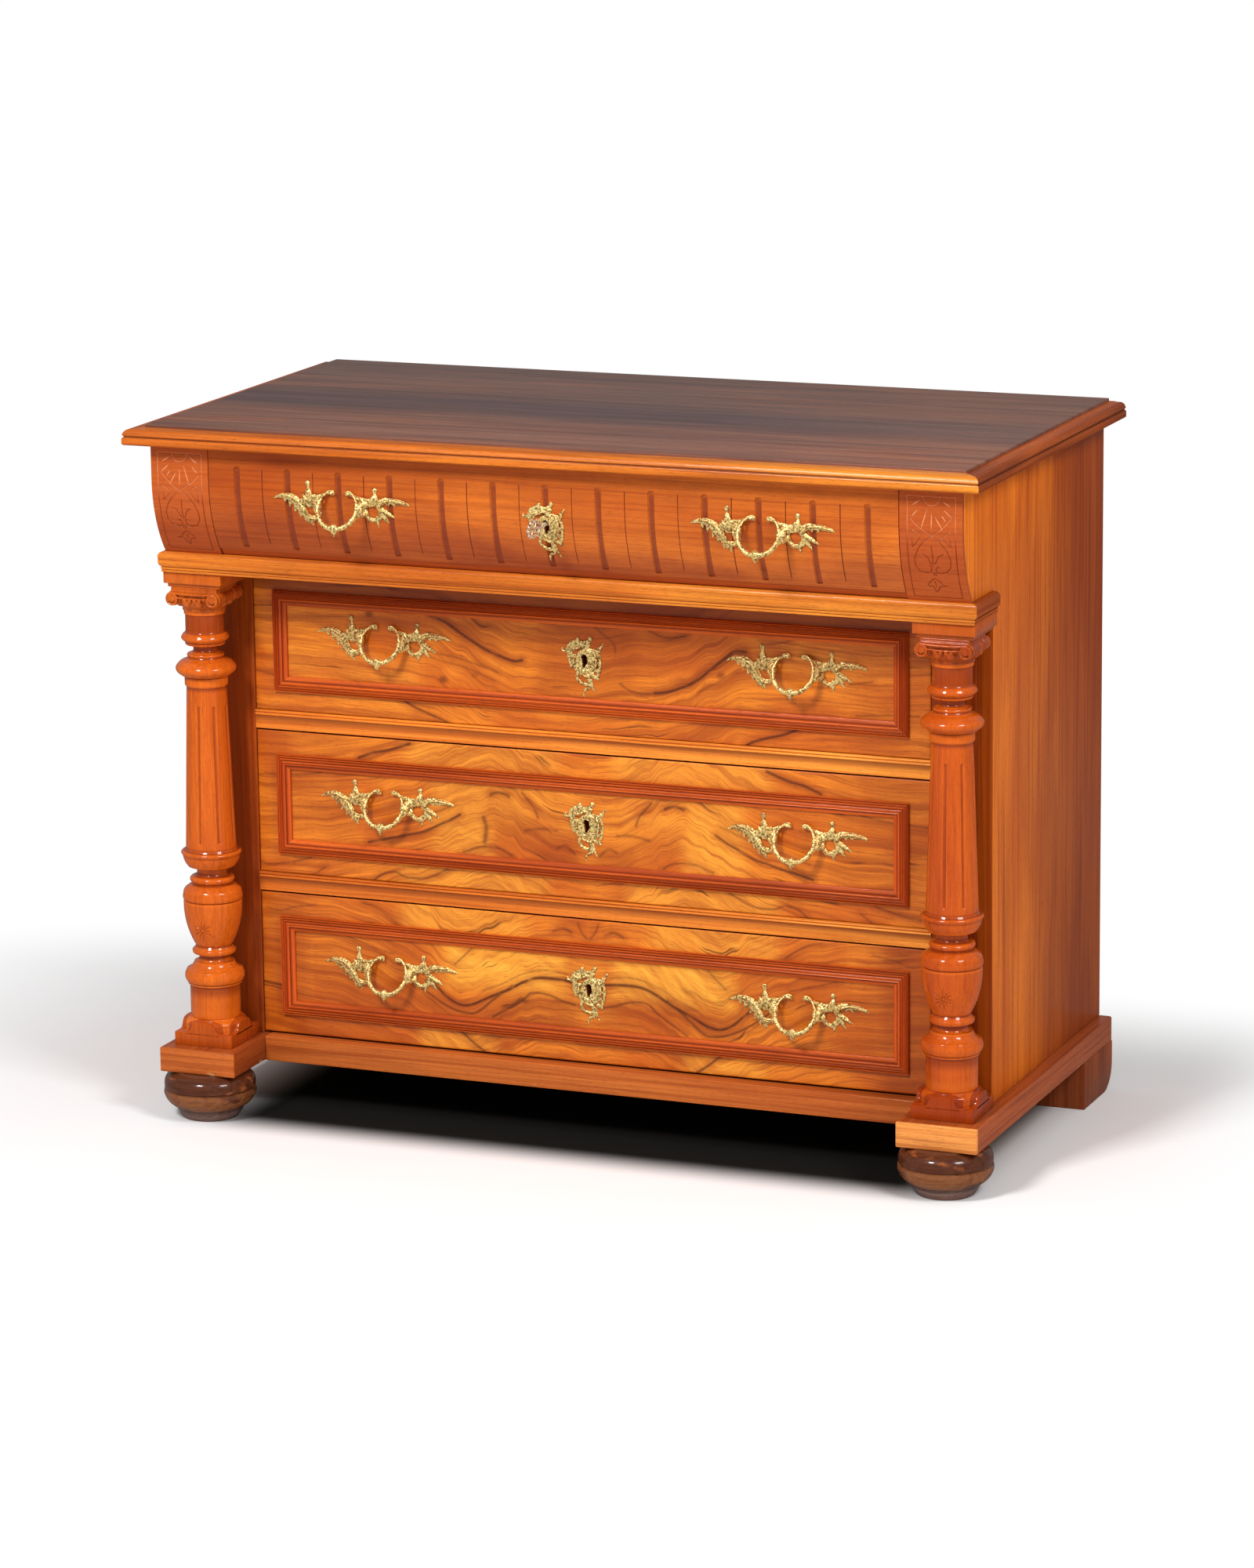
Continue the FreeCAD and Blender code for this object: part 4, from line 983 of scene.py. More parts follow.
def crowdFlutes(bm, centre):
    # turns the vertices about the axis so that more of them lie in the flutes
    sector = 2 * math.pi / columnShape["flutes"]
    half = columnShape["fluteWidth"] / 2 / columnShape["fluteRadius"]
    crowd = columnShape["crowded"]
    for vert in bm.verts:
        x, y = vert.co.x - centre.x, vert.co.y - centre.y
        radius = math.hypot(x, y)
        angle = math.atan2(x, -y)
        turn = round(angle / sector) * sector
        share = (angle - turn) / (sector / 2)
        size = abs(share)
        if size < crowd:
            moved = size / crowd * half
        else:
            moved = half + (size - crowd) / (1 - crowd) * (sector / 2 - half)
        angle = turn + math.copysign(moved, share)
        vert.co.x = centre.x + radius * math.sin(angle)
        vert.co.y = centre.y - radius * math.cos(angle)


def cutFlutes(bm, centre):
    sector = 2 * math.pi / columnShape["flutes"]
    half = columnShape["fluteWidth"] / 2 * mm
    low, high = columnShape["fluteLow"] * mm + half, columnShape["fluteHigh"] * mm - half
    layer = bm.verts.layers.float.new("cut")
    for vert in bm.verts:
        if not low - half < vert.co.z < high + half:
            continue
        out = Vector((vert.co.x - centre.x, vert.co.y - centre.y, 0))
        angle = math.atan2(out.x, -out.y)
        across = (angle - round(angle / sector) * sector) * out.length
        beyond = max(low - vert.co.z, vert.co.z - high, 0.0)
        share = math.hypot(across, beyond) / half
        if share < 1.0:
            depth = columnShape["fluteDepth"] * mm * math.sqrt(1 - share * share)
            vert.co -= out.normalized() * depth
            # painted shade in the flute
            vert[layer] = min(1.6 * (1 - share), 1.0)


def cutStar(bm, centre):
    # a twelve-rayed star cut into the front of the vase, on a finer patch of faces
    reach = (columnShape["starReach"] + 2) * mm
    level = columnShape["starLevel"] * mm
    hub = [radius * mm for radius in columnShape["starHub"]]

    def spot(co):
        angle = math.atan2(co.x - centre.x, centre.y - co.y)
        return angle * math.hypot(co.x - centre.x, co.y - centre.y), co.z - level

    patch = []
    for edge in bm.edges:
        u, w = spot((edge.verts[0].co + edge.verts[1].co) / 2)
        if abs(u) < reach and abs(w) < reach:
            patch.append(edge)
    bmesh.ops.subdivide_edges(bm, edges=patch, cuts=3, use_grid_fill=True)
    cut = []
    for vert in bm.verts:
        u, w = spot(vert.co)
        distance = math.hypot(u, w)
        if distance > reach:
            continue
        sector = 2 * math.pi / columnShape["starRays"]
        angle = math.atan2(u, w)
        number = round(angle / sector)
        long = columnShape["starReach"] * mm * (columnShape["starShort"] if number % 2 else 1.0)
        across = abs(angle - number * sector) * distance
        width = columnShape["starWidth"] * mm * (1.1 - distance / long * 0.7)
        if distance < long and width > 0:
            share = max(1 - across / width, 0.0) * smoothStep(distance, *hub)
            cut.append((vert, share * columnShape["starDepth"] * mm))
    layer = bm.verts.layers.float["cut"]
    for vert, depth in cut:
        vert.co -= Vector((vert.co.x - centre.x, vert.co.y - centre.y, 0)).normalized() * depth
        # painted shade in the star's rays
        vert[layer] = min(depth / mm * 1.8, 1.0)


def makeColumns():
    low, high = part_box("column_right")
    centre = (low + high) / 2
    bm = spun(columnOutline(), columnShape["steps"], centre)
    crowdFlutes(bm, centre)
    cutFlutes(bm, centre)
    cutStar(bm, centre)
    bm.normal_update()
    markHollows(bm, columnShape["hollows"], 1)
    makePair(bm, "turned_column", woods["turned"], "column", sharp=50)


baseShape = {
    "bell": [(0, 100), (37, 100), (39.4, 107), (39.6, 117, 0.4), (36.4, 124.4, 1.5), (34.6, 125.4),
             (33.0, 128, -0.7), (0, 128)],
    "block": 111.0, "sunk": 3.0, "board": 8.0, "rounding": 0.8, "steps": 160,
    "lobe": [(24, 111), (21, 111.8), (18.4, 114.6), (16.2, 119.4), (12.6, 123.2), (6, 124.7), (0, 125.1)],
}


def makeBases():
    # a square block whose four faces rise into lobed boards round a turned bell
    low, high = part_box("column_base_right")
    centre = (low + high) / 2
    foot = baseShape["block"] - baseShape["sunk"]
    block = blockShape(low, Vector((high.x, high.y, baseShape["block"] * mm)))
    rise = [(point.x, point.y) for point in curvePoints(baseShape["lobe"], 1.0)]
    lobe = rise + [(-reach, height) for reach, height in reversed(rise[:-1])]
    shapes = [block, spun(outline(baseShape["bell"]), baseShape["steps"], centre)]
    for along, across in ((1, 0), (0, 1)):
        for start in (low[along], high[along] - baseShape["board"] * mm):
            points = []
            for reach, height in lobe + [(reach, foot) for reach in (-rise[0][0], rise[0][0])]:
                spot = Vector((0, 0, height * mm))
                spot[across] = centre[across] + reach * mm
                points.append(spot)
            shapes.append(extrudedBar(points, along, start, start + baseShape["board"] * mm))
    for shape in shapes:
        if shape is not shapes[1]:
            edges = [edge for edge in shape.edges if edge.is_manifold and edge.calc_face_angle() > 1.0]
            eased(shape, edges, baseShape["rounding"])
    makePair(merged(*shapes), "turned_base", woods["base"], "column_base", sharp=40)


bunShape = {
    "outline": [(0, 0), (34.8, 0), (36.5, 1.2), (45, 15), (46.5, 15.6), (59.3, 33, 2.4), (58.6, 37.3),
                (56.8, 38.2), (56.8, 39.7), (58.2, 40.6), (45, 60.6, 5.2), (43.4, 62), (0, 62)],
    "steps": 128, "hollows": 900.0,
}


def makeBuns():
    low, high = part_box("bun_foot_right")
    bm = spun(outline(bunShape["outline"], 12), bunShape["steps"], (low + high) / 2)
    markHollows(bm, bunShape["hollows"], 1)
    makePair(bm, "turned_foot", woods["foot"], "bun_foot")


makeColumns()
makeBases()
makeBuns()
print("turned pieces ready")


# The bulging front and the carved corner blocks

bulge = {"depth": 33.5, "height": 97.0, "lip": 9.0, "lipDepth": 3.0}
cornerLow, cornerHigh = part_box("corner_block_right")


def bulgeAt(height):
    depth, rise = bulge["depth"] * mm, bulge["height"] * mm
    radius = (depth ** 2 + rise ** 2) / (2 * depth)
    below = max(cornerLow.z + rise - height, 0.0)
    return cornerLow.y + radius - math.sqrt(radius ** 2 - below ** 2)


def faceSheet(places, heights, depthAt):
    # a sheet over the given widths and heights, which lies depthAt(x, z) behind the bulging face
    bm = bmesh.new()
    bmesh.ops.create_grid(bm, x_segments=len(places) - 1, y_segments=len(heights) - 1, size=1.0)
    for vert in bm.verts:
        x = places[round((vert.co.x + 1) / 2 * (len(places) - 1))]
        z = heights[round((vert.co.y + 1) / 2 * (len(heights) - 1))]
        vert.co = Vector((x, bulgeAt(z) + depthAt(x, z), z))
    closed(bm)
    if sum(face.normal.y for face in bm.faces) > 0:
        bmesh.ops.reverse_faces(bm, faces=bm.faces[:])
    return bm


def backedSheet(bm, backAt):
    # closes a sheet with walls and a back, whose depth backAt(x, z) gives
    grown = bmesh.ops.extrude_face_region(bm, geom=bm.faces[:])
    layer = bm.verts.layers.float["cut"]
    for vert in newVerts(grown):
        vert.co.y = backAt(vert.co.x, vert.co.z)
        vert[layer] = 0.0
    return closed(bm)


flutes = {
    "count": 13, "pitchEnd": 0.12, "width": 8.8, "depth": 2.9, "low": 748.0, "high": 853.0,
    "lineWidth": 1.3, "lineDepth": 0.9, "lineLow": 752.0, "lineHigh": 850.0,
}
keyhole = {"radius": 3.9, "rise": 1.1, "slot": (3.0, 1.9), "shoulder": 2.4, "length": 12.0}


def fluteWidths(low, high):
    # widths across the front: crowded over each flute and each cut line
    pitch = (high - low) / (flutes["count"] + flutes["pitchEnd"])
    half, fine = flutes["width"] / 2 * mm, flutes["lineWidth"] / 2 * mm
    places = [low, high]
    for count in range(flutes["count"]):
        x = (count - (flutes["count"] - 1) / 2) * pitch
        places += [x + half * share / 6 for share in range(-7, 8)]
        if count < flutes["count"] - 1:
            places += [x + pitch / 2 + fine * share / 2 for share in range(-3, 4)]
    return sorted(places), pitch


def makeBulgingFront():
    low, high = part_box("drawer_front_4")
    places, pitch = fluteWidths(low.x, high.x)
    lipTop = low.z + bulge["lip"] * mm
    fluteLow, fluteHigh = flutes["low"] * mm, flutes["high"] * mm
    half = flutes["width"] / 2 * mm
    # the rows of the sheet lie closer at the lip and at the ends of the flutes
    heights = [low.z, lipTop - 0.8 * mm, lipTop, lipTop + 0.6 * mm]
    heights += [fluteLow - 0.3 * mm, fluteLow + 0.3 * mm]
    heights += [fluteLow + (fluteHigh - half - fluteLow) * share / 30 for share in range(1, 31)]
    heights += [fluteHigh - half + half * share / 7 for share in range(1, 9)]
    heights += [fluteHigh + (high.z - fluteHigh) * share / 4 for share in range(2, 5)]
    heights = sorted(heights)

    def depthAt(x, z):
        return carvedAt(x, z)[0]

    def carvedAt(x, z):
        # how deep the carving is there, and how much painted shade lies in it; the flute tops get less, as
        # painted light
        count = round(x / pitch)
        across = abs(x - count * pitch)
        depth, shade = 0.0, 0.0
        if across < half and z > fluteLow and abs(count) <= flutes["count"] // 2:
            beyond = max(z - (fluteHigh - half), 0.0)
            share = math.hypot(across, beyond) / half
            if share < 1.0:
                depth = flutes["depth"] * mm * math.sqrt(1 - share * share)
                litFluteTop = 0.5 * smoothStep(z, fluteHigh - 9 * mm, fluteHigh)
                shade = min(2.2 * (1 - share), 1.0) * (1 - litFluteTop)
        line = abs(abs(x / pitch - math.floor(x / pitch)) - 0.5) * pitch
        inside = flutes["lineLow"] * mm < z < flutes["lineHigh"] * mm
        if line < flutes["lineWidth"] / 2 * mm and inside and abs(x) < pitch * (flutes["count"] - 1) / 2:
            depth = flutes["lineDepth"] * mm * (1 - line / (flutes["lineWidth"] / 2 * mm))
            shade = 0.9
        return depth + bulge["lipDepth"] * mm * smoothStep(lipTop - z, 0.0, 0.8 * mm), shade

    bm = faceSheet(places, heights, depthAt)
    layer = bm.verts.layers.float.new("cut")
    for vert in bm.verts:
        vert[layer] = carvedAt(vert.co.x, vert.co.z)[1]
    back = high.y
    backedSheet(bm, lambda x, z: back)
    pocket = blockShape(*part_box("lock_case_4"))
    bm = throughCuts(bm, pocket, holeCutter(keyLevel(4), low.y, back))
    makePiece(bm, "front_4", woods["bulge"], ["drawer_front_4"], sharp=40)


def keyLevel(number):
    # the keyhole's height: it stands a known share below the top of its brass plate
    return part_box("escutcheon_%d" % number)[1].z - brassSizes["keyBelowPlateTop"] * mm


def holeCutter(level, front, back):
    # a round top on a slot that narrows downwards
    radius, rise = keyhole["radius"], keyhole["rise"]
    points = []
    for degrees in range(-50, 231, 14):
        turn = math.radians(degrees)
        points.append((radius * math.cos(turn), rise + radius * math.sin(turn)))
    wide, narrow = keyhole["slot"]
    shoulder, tip = -keyhole["shoulder"], -keyhole["length"]
    points += [(-wide, shoulder), (-narrow, tip), (narrow, tip), (wide, shoulder)]
    points = [Vector((across * mm, 0, level + up * mm)) for across, up in points]
    return extrudedBar(points, 1, front - 10 * mm, back + 10 * mm)


brassSizes = {
    "keyBelowPlateTop": 27.6, "handleLevelBelowTop": 25.8, "handleWidth": 183.0,
    "rightShare": 0.52, "leftShare": 0.48, "hollows": 5200.0,
}

makeBulgingFront()

# Veneered fronts, in mm from the middle and above the drawer's floor: levels of the figure, veins of
# (width, strength, points), and gold and dark patches of (left, right, low, high, strength)

figures = {
    1: {  # the lowest drawer
        "mirrored": True,
        "flow": [(0, 100), (40, 104), (69, 103.5), (90, 96), (111, 84), (135, 73), (160, 61), (178, 59.5),
                 (196, 68), (220, 88), (260, 105), (300, 120), (360, 135), (455, 140)],
        "veins": [
            (1.7, 0.95, [(20, 102), (41, 104), (69, 103.5), (90, 96), (111, 84), (135, 73), (160, 61),
                         (178, 59), (196, 68), (208, 79), (220, 88)]),
            (1.2, 0.70, [(20, 73), (35, 76), (57, 83), (78, 83), (87, 76), (96, 69), (117, 56), (132, 47)]),
            (1.2, 0.75, [(105, 90), (132, 69), (148, 55), (160, 49), (178, 50), (196, 56), (214, 66),
                         (232, 78), (245, 88)]),
            (0.9, 0.55, [(160, 134), (172, 122), (184, 111)]),
            (0.9, 0.50, [(269, 117), (290, 122), (311, 128), (332, 135)]),
            (0.9, 0.50, [(263, 158), (278, 169), (296, 178), (311, 181)]),
            (0.9, 0.45, [(378, 172), (408, 167), (426, 161), (445, 164)]),
            (1.3, 0.80, [(144, 0), (160, 11), (178, 25), (190, 27)]),
            (1.6, 0.60, [(23, 167), (35, 171), (47, 166)]), (1.2, 0.50, [(2, 160), (9, 168), (14, 180)]),
            (0.8, 0.45, [(150, 42), (166, 38), (186, 42), (206, 54), (228, 70)]),
            (0.8, 0.40, [(30, 112), (62, 114), (92, 106), (118, 92), (146, 80)]),
        ],
        "glow": [(35, 190, 90, 135, 1.0), (90, 250, 150, 188, 0.6), (130, 230, 0, 24, 0.7),
                 (0, 30, 60, 150, 0.3)],
        "shade": [(120, 141, 16, 32, 0.7), (20, 140, 45, 85, 0.45), (395, 455, 0, 188, 0.55),
                  (250, 380, 30, 110, 0.25)],
    },
    2: {
        "mirrored": True,
        "flow": [(0, 60), (40, 64), (84, 84), (102, 100), (130, 110), (150, 104), (172, 95), (202, 79),
                 (244, 63), (300, 49), (363, 42), (455, 36)],
        "veins": [
            (1.5, 0.85, [(172, 95), (187, 86), (202, 79), (222, 69), (244, 63), (263, 58), (285, 53),
                         (300, 49)]),
            (1.8, 0.85, [(240, 181), (268, 171), (290, 166), (311, 158)]),
            (1.0, 0.50, [(363, 135), (384, 131), (402, 129), (427, 128), (454, 126)]),
            (1.0, 0.55, [(381, 22), (399, 17), (420, 12), (442, 9), (454, 14)]),
            (1.0, 0.55, [(362, 11), (378, 0)]),
            (1.1, 0.65, [(190, 23), (214, 11), (232, 7), (251, 8), (263, 13), (281, 9), (293, 0)]),
            (1.1, 0.60, [(102, 47), (115, 54), (131, 56), (146, 55), (160, 50), (169, 47)]),
            (1.8, 0.80, [(105, 123), (111, 126), (120, 127), (130, 124)]),
            (1.2, 0.60, [(66, 99), (72, 112), (87, 129)]), (1.6, 0.50, [(41, 84), (63, 85), (84, 81)]),
            (1.6, 0.50, [(17, 56), (29, 66), (40, 62)]),
            (0.8, 0.40, [(180, 106), (214, 92), (250, 80), (296, 68)]),
            (0.8, 0.35, [(330, 92), (380, 88), (440, 90)]),
        ],
        "single": [(3.2, 0.60, [(-139, 62), (-137, 80), (-140, 93)])],
        "glow": [(135, 205, 45, 132, 0.65), (45, 140, 95, 140, 0.42), (60, 250, 0, 24, 0.6),
                 (40, 240, 160, 188, 0.5), (0, 50, 85, 140, 0.30)],
        "shade": [(15, 60, 45, 70, 0.55), (60, 120, 70, 95, 0.3), (330, 455, 60, 188, 0.3)],
    },
    3: {
        "mirrored": False,
        "flow": [(0, 80), (90, 85), (133, 97), (169, 117), (208, 135), (300, 140), (455, 140)],
        "veins": [
            (1.8, 0.90, [(-208, 135), (-187, 128), (-169, 117), (-154, 108), (-133, 97), (-114, 90),
                         (-96, 85), (-84, 87)]),
            (1.4, 0.80, [(-248, 25), (-230, 16), (-208, 8), (-187, 0)]),
            (0.9, 0.50, [(-454, 50), (-427, 46)]),
            (0.9, 0.50, [(-454, 134), (-425, 135)]),
            (0.8, 0.45, [(-250, 105), (-208, 90), (-178, 85), (-148, 78), (-118, 69)]),
            (0.8, 0.40, [(-240, 94), (-200, 80), (-160, 72), (-122, 58)]),
            (4.0, 0.60, [(-293, 132), (-291, 132)]), (5.0, 0.60, [(-193, 55), (-191, 55)]),
            (4.0, 0.35, [(-150, 64), (-148, 64)]), (5.0, 0.50, [(180, 85), (182, 85)]),
            (1.8, 0.90, [(214, 117), (199, 116), (184, 105), (169, 93), (151, 78), (135, 69), (111, 60),
                         (93, 57)]),
            (1.0, 0.60, [(47, 66), (60, 58), (80, 55), (108, 60)]),
            (1.0, 0.60, [(87, 135), (102, 129), (117, 128), (135, 132)]),
            (1.0, 0.50, [(14, 135), (38, 117), (41, 105)]),
            (0.9, 0.50, [(241, 128), (263, 132), (275, 136)]), (0.9, 0.50, [(348, 85), (378, 91)]),
            (0.9, 0.50, [(357, 47), (404, 51), (438, 52)]),
            (1.6, 0.90, [(281, 25), (263, 17), (241, 11), (223, 5), (214, 0)]),
            (0.8, 0.40, [(230, 104), (200, 92), (176, 76), (150, 62)]),
        ],
        "glow": [(-420, -230, 20, 80, 0.25), (230, 420, 90, 130, 0.25)],
        # the last dark patch, along the top of this front, is painted shadow of the cornice
        "shade": [(-60, 60, 50, 130, 0.45), (-160, -60, 95, 140, 0.2), (-455, 455, 178, 188, 0.7)],
    },
}
veneer = {
    "thick": 1.5, "cell": 1.6, "edge": 0.6, "hole": 5.6, "slot": (4.8, 14.0), "soft": 22.0,
    "spread": 9.0, "spreadShare": 0.6, "veinStep": 0.9, "head": 180.0,
}


def flowAt(flow, x):
    for (left, low), (right, high) in zip(flow, flow[1:]):
        if x <= right:
            return low + (high - low) * smoothStep(x, left, right)
    return flow[-1][1]


def patchAt(patches, x, z):
    # the strongest of some rectangles, soft-edged except at the foot and the head of the front
    value = 0.0
    for left, right, low, high, strength in patches:
        under = math.inf if low == 0 else z - low
        over = math.inf if high > veneer["head"] else high - z
        edge = min(x - left, right - x, under, over)
        value = max(value, strength * smoothStep(edge, -veneer["soft"], veneer["soft"] * 0.5))
    return value


def drawVeins(design, places, heights):
    # lays each vein down as soft dabs on the grid of the sheet: its line, and the shade beside it
    drawn = [(vein, 1) for vein in design["veins"] + design.get("single", [])]
    if design["mirrored"]:
        drawn += [(vein, -1) for vein in design["veins"]]
    lines, shades = {}, {}
    cell, first = veneer["cell"], places[0]
    for (width, strength, points), side in drawn:
        beside = strength * veneer["spreadShare"]
        for spot in curvePoints(points, veneer["veinStep"]):
            x, z = spot.x * side, spot.y
            column, row = (x - first) / cell, z / cell
            for store, reach, force in ((lines, width, strength), (shades, veneer["spread"], beside)):
                span = math.ceil(reach / cell) + 1
                for i in range(max(round(column) - span, 0), min(round(column) + span + 1, len(places))):
                    for j in range(max(round(row) - span, 0), min(round(row) + span + 1, len(heights))):
                        near = math.hypot(places[i] - x, heights[j] - z) / (reach + cell * 0.5)
                        if near < 1.0:
                            store[i, j] = max(store.get((i, j), 0.0), force * (1 - near * near))
    return lines, shades


def evenSteps(low, high, cell):
    count = round((high - low) / cell)
    return [low + (high - low) * step / count for step in range(count + 1)]


def makeVeneeredFront(number):
    node = "drawer_front_%d" % number
    low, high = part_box(node)
    design = figures[number]
    width, height = (high.x - low.x) / mm, (high.z - low.z) / mm
    places = evenSteps(-width / 2, width / 2, veneer["cell"])
    heights = evenSteps(0.0, height, veneer["cell"])
    lines, shades = drawVeins(design, places, heights)
    level = (keyLevel(number) - low.z) / mm
    bm = bmesh.new()
    layers = [bm.verts.layers.float.new(name) for name in ("level", "vein", "shade", "glow")]
    bmesh.ops.create_grid(bm, x_segments=len(places) - 1, y_segments=len(heights) - 1, size=1.0)
    holes = []
    for vert in bm.verts:
        i = round((vert.co.x + 1) / 2 * (len(places) - 1))
        j = round((vert.co.y + 1) / 2 * (len(heights) - 1))
        x, z = places[i], heights[j]
        rim = i in (0, len(places) - 1) or j in (0, len(heights) - 1)
        vert.co = Vector((x * mm, low.y + (veneer["edge"] * mm if rim else 0.0), low.z + z * mm))
        side = abs(x)
        across = side if design["mirrored"] else x
        shade = max(shades.get((i, j), 0.0), patchAt(design["shade"], across, z))
        values = ((z - flowAt(design["flow"], side)) * mm, lines.get((i, j), 0.0), shade,
                  patchAt(design["glow"], across, z))
        for layer, value in zip(layers, values):
            vert[layer] = value
        up = z - level
        if math.hypot(x, up) < veneer["hole"] or side < veneer["slot"][0] and -veneer["slot"][1] < up < 0:
            holes.append(vert)
    bmesh.ops.delete(bm, geom=holes, context="VERTS")
    closed(bm)
    if next(iter(bm.faces)).normal.y > 0:
        bmesh.ops.reverse_faces(bm, faces=bm.faces[:])
    rims = [edge for edge in bm.edges if edge.is_boundary]
    grown = bmesh.ops.extrude_edge_only(bm, edges=rims)
    for vert in newVerts(grown):
        vert.co.y = low.y + veneer["thick"] * mm
    rims = [item for item in grown["geom"] if isinstance(item, bmesh.types.BMEdge) and item.is_boundary]
    bmesh.ops.triangle_fill(bm, edges=rims, use_beauty=True)
    closed(bm)
    core = cadShape(node)
    for vert in core.verts:
        if vert.co.y < low.y + 0.1 * mm:
            vert.co.y = low.y + veneer["thick"] * mm
    core = throughCuts(core, holeCutter(keyLevel(number), low.y, high.y))
    makePiece(bm, "veneer_%d" % number, veneers[number], [node], sharp=20)
    makePiece(core, "front_%d" % number, woods["stile"], [node], sharp=20)


for number in (1, 2, 3):
    makeVeneeredFront(number)
print("veneered fronts ready")


# Cut lines on the corner block: s across from its middle, t up from its foot, in mm
carving = {
    "lineWidth": 1.5, "lineDepth": 1.0, "step": 0.65, "facing": 6.0,
    "lines": [
        [(-29.8, 5.8), (-29.8, 131)], [(30.4, 5.8), (30.4, 131)], [(-29.8, 5.8), (30.4, 5.8)],
        [(-29.8, 131), (30.4, 131)],
        [(-25.9, 104.6), (-17.1, 95.7), (-7.4, 89.7), (1.3, 84.5), (11.7, 75.6), (18.9, 66.3), (23, 55.8),
         (21.9, 45.8), (16.3, 39.4), (8.2, 37.8), (4.4, 38.6), (3, 42.5), (5.4, 45.7), (8.2, 44.9)],
        [(25.8, 106.6), (18, 97.7), (10.2, 90.7), (1.3, 84.5), (-9.7, 77.2), (-17, 68), (-21.9, 55.9),
         (-21.9, 47), (-17, 39.2), (-8.4, 37.8), (-3.3, 39.1), (-1.5, 45.3), (-4.3, 47.1)],
        [(-0.2, 72), (0.7, 57.4), (-0.3, 47.4)], [(-10.7, 61.6), (-5.2, 57), (-2.1, 49.2)],
        [(13.8, 62.1), (7.7, 58.8), (2.9, 49.6)],
        [(-23, 91.6), (-23.8, 69.5), (-11.4, 83.8), (-23, 91.6)],
        [(12.9, 82.3), (23.8, 90.6), (24.1, 71.5), (12.9, 82.3)],
        [(-0.6, 31.1), (-7.6, 24.4), (-9.9, 22.2), (-7.4, 20.2), (-3.4, 20.5), (-0.2, 12.2), (5.3, 20),
         (14.5, 21.7), (8.7, 22.4), (5.7, 27.4), (-0.6, 31.1)],
        [(-0.3, 27), (0.6, 20.8)],
    ],
    "petals": [
        [(-5.4, 116), (-12.2, 93.2)], [(0.5, 111.7), (0.5, 92)], [(5.3, 107.3), (14.1, 92.8)],
        [(13.1, 109.6), (18, 103.4)], [(16, 116.3), (25.8, 107.5)], [(14.1, 126.5), (23.8, 120.5)],
        [(-17.1, 115.4), (-23.9, 107.5)], [(-14, 126.5), (-23.8, 120.5)],
    ],
    "fan": (0.5, 131.4, 10.5), "petalWidth": 2.6, "dot": (1.2, 36.3, 1.8),
}


def carvedDepth(s, t, segments):
    width = carving["lineWidth"] / 2
    share = 0.0
    for start, end, half in segments:
        if abs(s - (start[0] + end[0]) / 2) > abs(end[0] - start[0]) / 2 + half:
            continue
        if abs(t - (start[1] + end[1]) / 2) > abs(end[1] - start[1]) / 2 + half:
            continue
        run = (end[0] - start[0], end[1] - start[1])
        along = ((s - start[0]) * run[0] + (t - start[1]) * run[1]) / max(run[0] ** 2 + run[1] ** 2, 1e-9)
        along = min(max(along, 0.0), 1.0)
        reach = math.hypot(s - start[0] - run[0] * along, t - start[1] - run[1] * along)
        swell = 1.0 if half == width else 0.35 + 0.65 * math.sin(math.pi * min(along * 0.8 + 0.1, 1.0))
        share = max(share, 1 - (reach / (half * swell)) ** 2)
    for x, y, radius in (carving["fan"], carving["dot"]):
        reach = abs(math.hypot(s - x, t - y) - radius)
        if t < 131.0:
            share = max(share, 1 - (reach / width) ** 2)
    return max(share, 0.0)


def makeCornerBlocks():
    middle = (cornerLow.x + cornerHigh.x) / 2
    segments = []
    for key, width in (("lines", "lineWidth"), ("petals", "petalWidth")):
        for line in carving[key]:
            segments += [(start, end, carving[width] / 2) for start, end in zip(line, line[1:])]
    step = carving["step"] * mm
    columns = round((cornerHigh.x - cornerLow.x) / step)
    rows = round((cornerHigh.z - cornerLow.z) / step)
    places = [cornerLow.x + (cornerHigh.x - cornerLow.x) * count / columns for count in range(columns + 1)]
    heights = [cornerLow.z + (cornerHigh.z - cornerLow.z) * count / rows for count in range(rows + 1)]

    def depthAt(x, z):
        return carvedDepth((x - middle) / mm, (z - cornerLow.z) / mm, segments) * carving["lineDepth"] * mm

    bm = faceSheet(places, heights, depthAt)
    layer = bm.verts.layers.float.new("cut")
    # the share of the cut depth, which carries the carving's painted highlight and shade
    for vert in bm.verts:
        vert[layer] = min(max((vert.co.y - bulgeAt(vert.co.z)) / (carving["lineDepth"] * mm), 0.0), 1.0)
    facing = carving["facing"] * mm
    backedSheet(bm, lambda x, z: bulgeAt(z) + facing)
    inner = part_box("side_panel_right")[0].x
    rowsBehind = [cornerLow.z + (cornerHigh.z - cornerLow.z) * count / 24 for count in range(25)]
    points = [Vector((0, bulgeAt(z) + facing, z)) for z in rowsBehind]
    points += [Vector((0, cornerHigh.y, cornerHigh.z)), Vector((0, cornerHigh.y, cornerLow.z))]
    behind = extrudedBar(points, 0, cornerLow.x, inner)
    makePair(merged(bm, behind), "corner_carved", woods["carved"], "corner_block",
             sharp=40)


makeCornerBlocks()
print("bulging front ready")


# Cast brass: strokes of (across, up, radius, proud) in mm; three numbers lie flat on the face

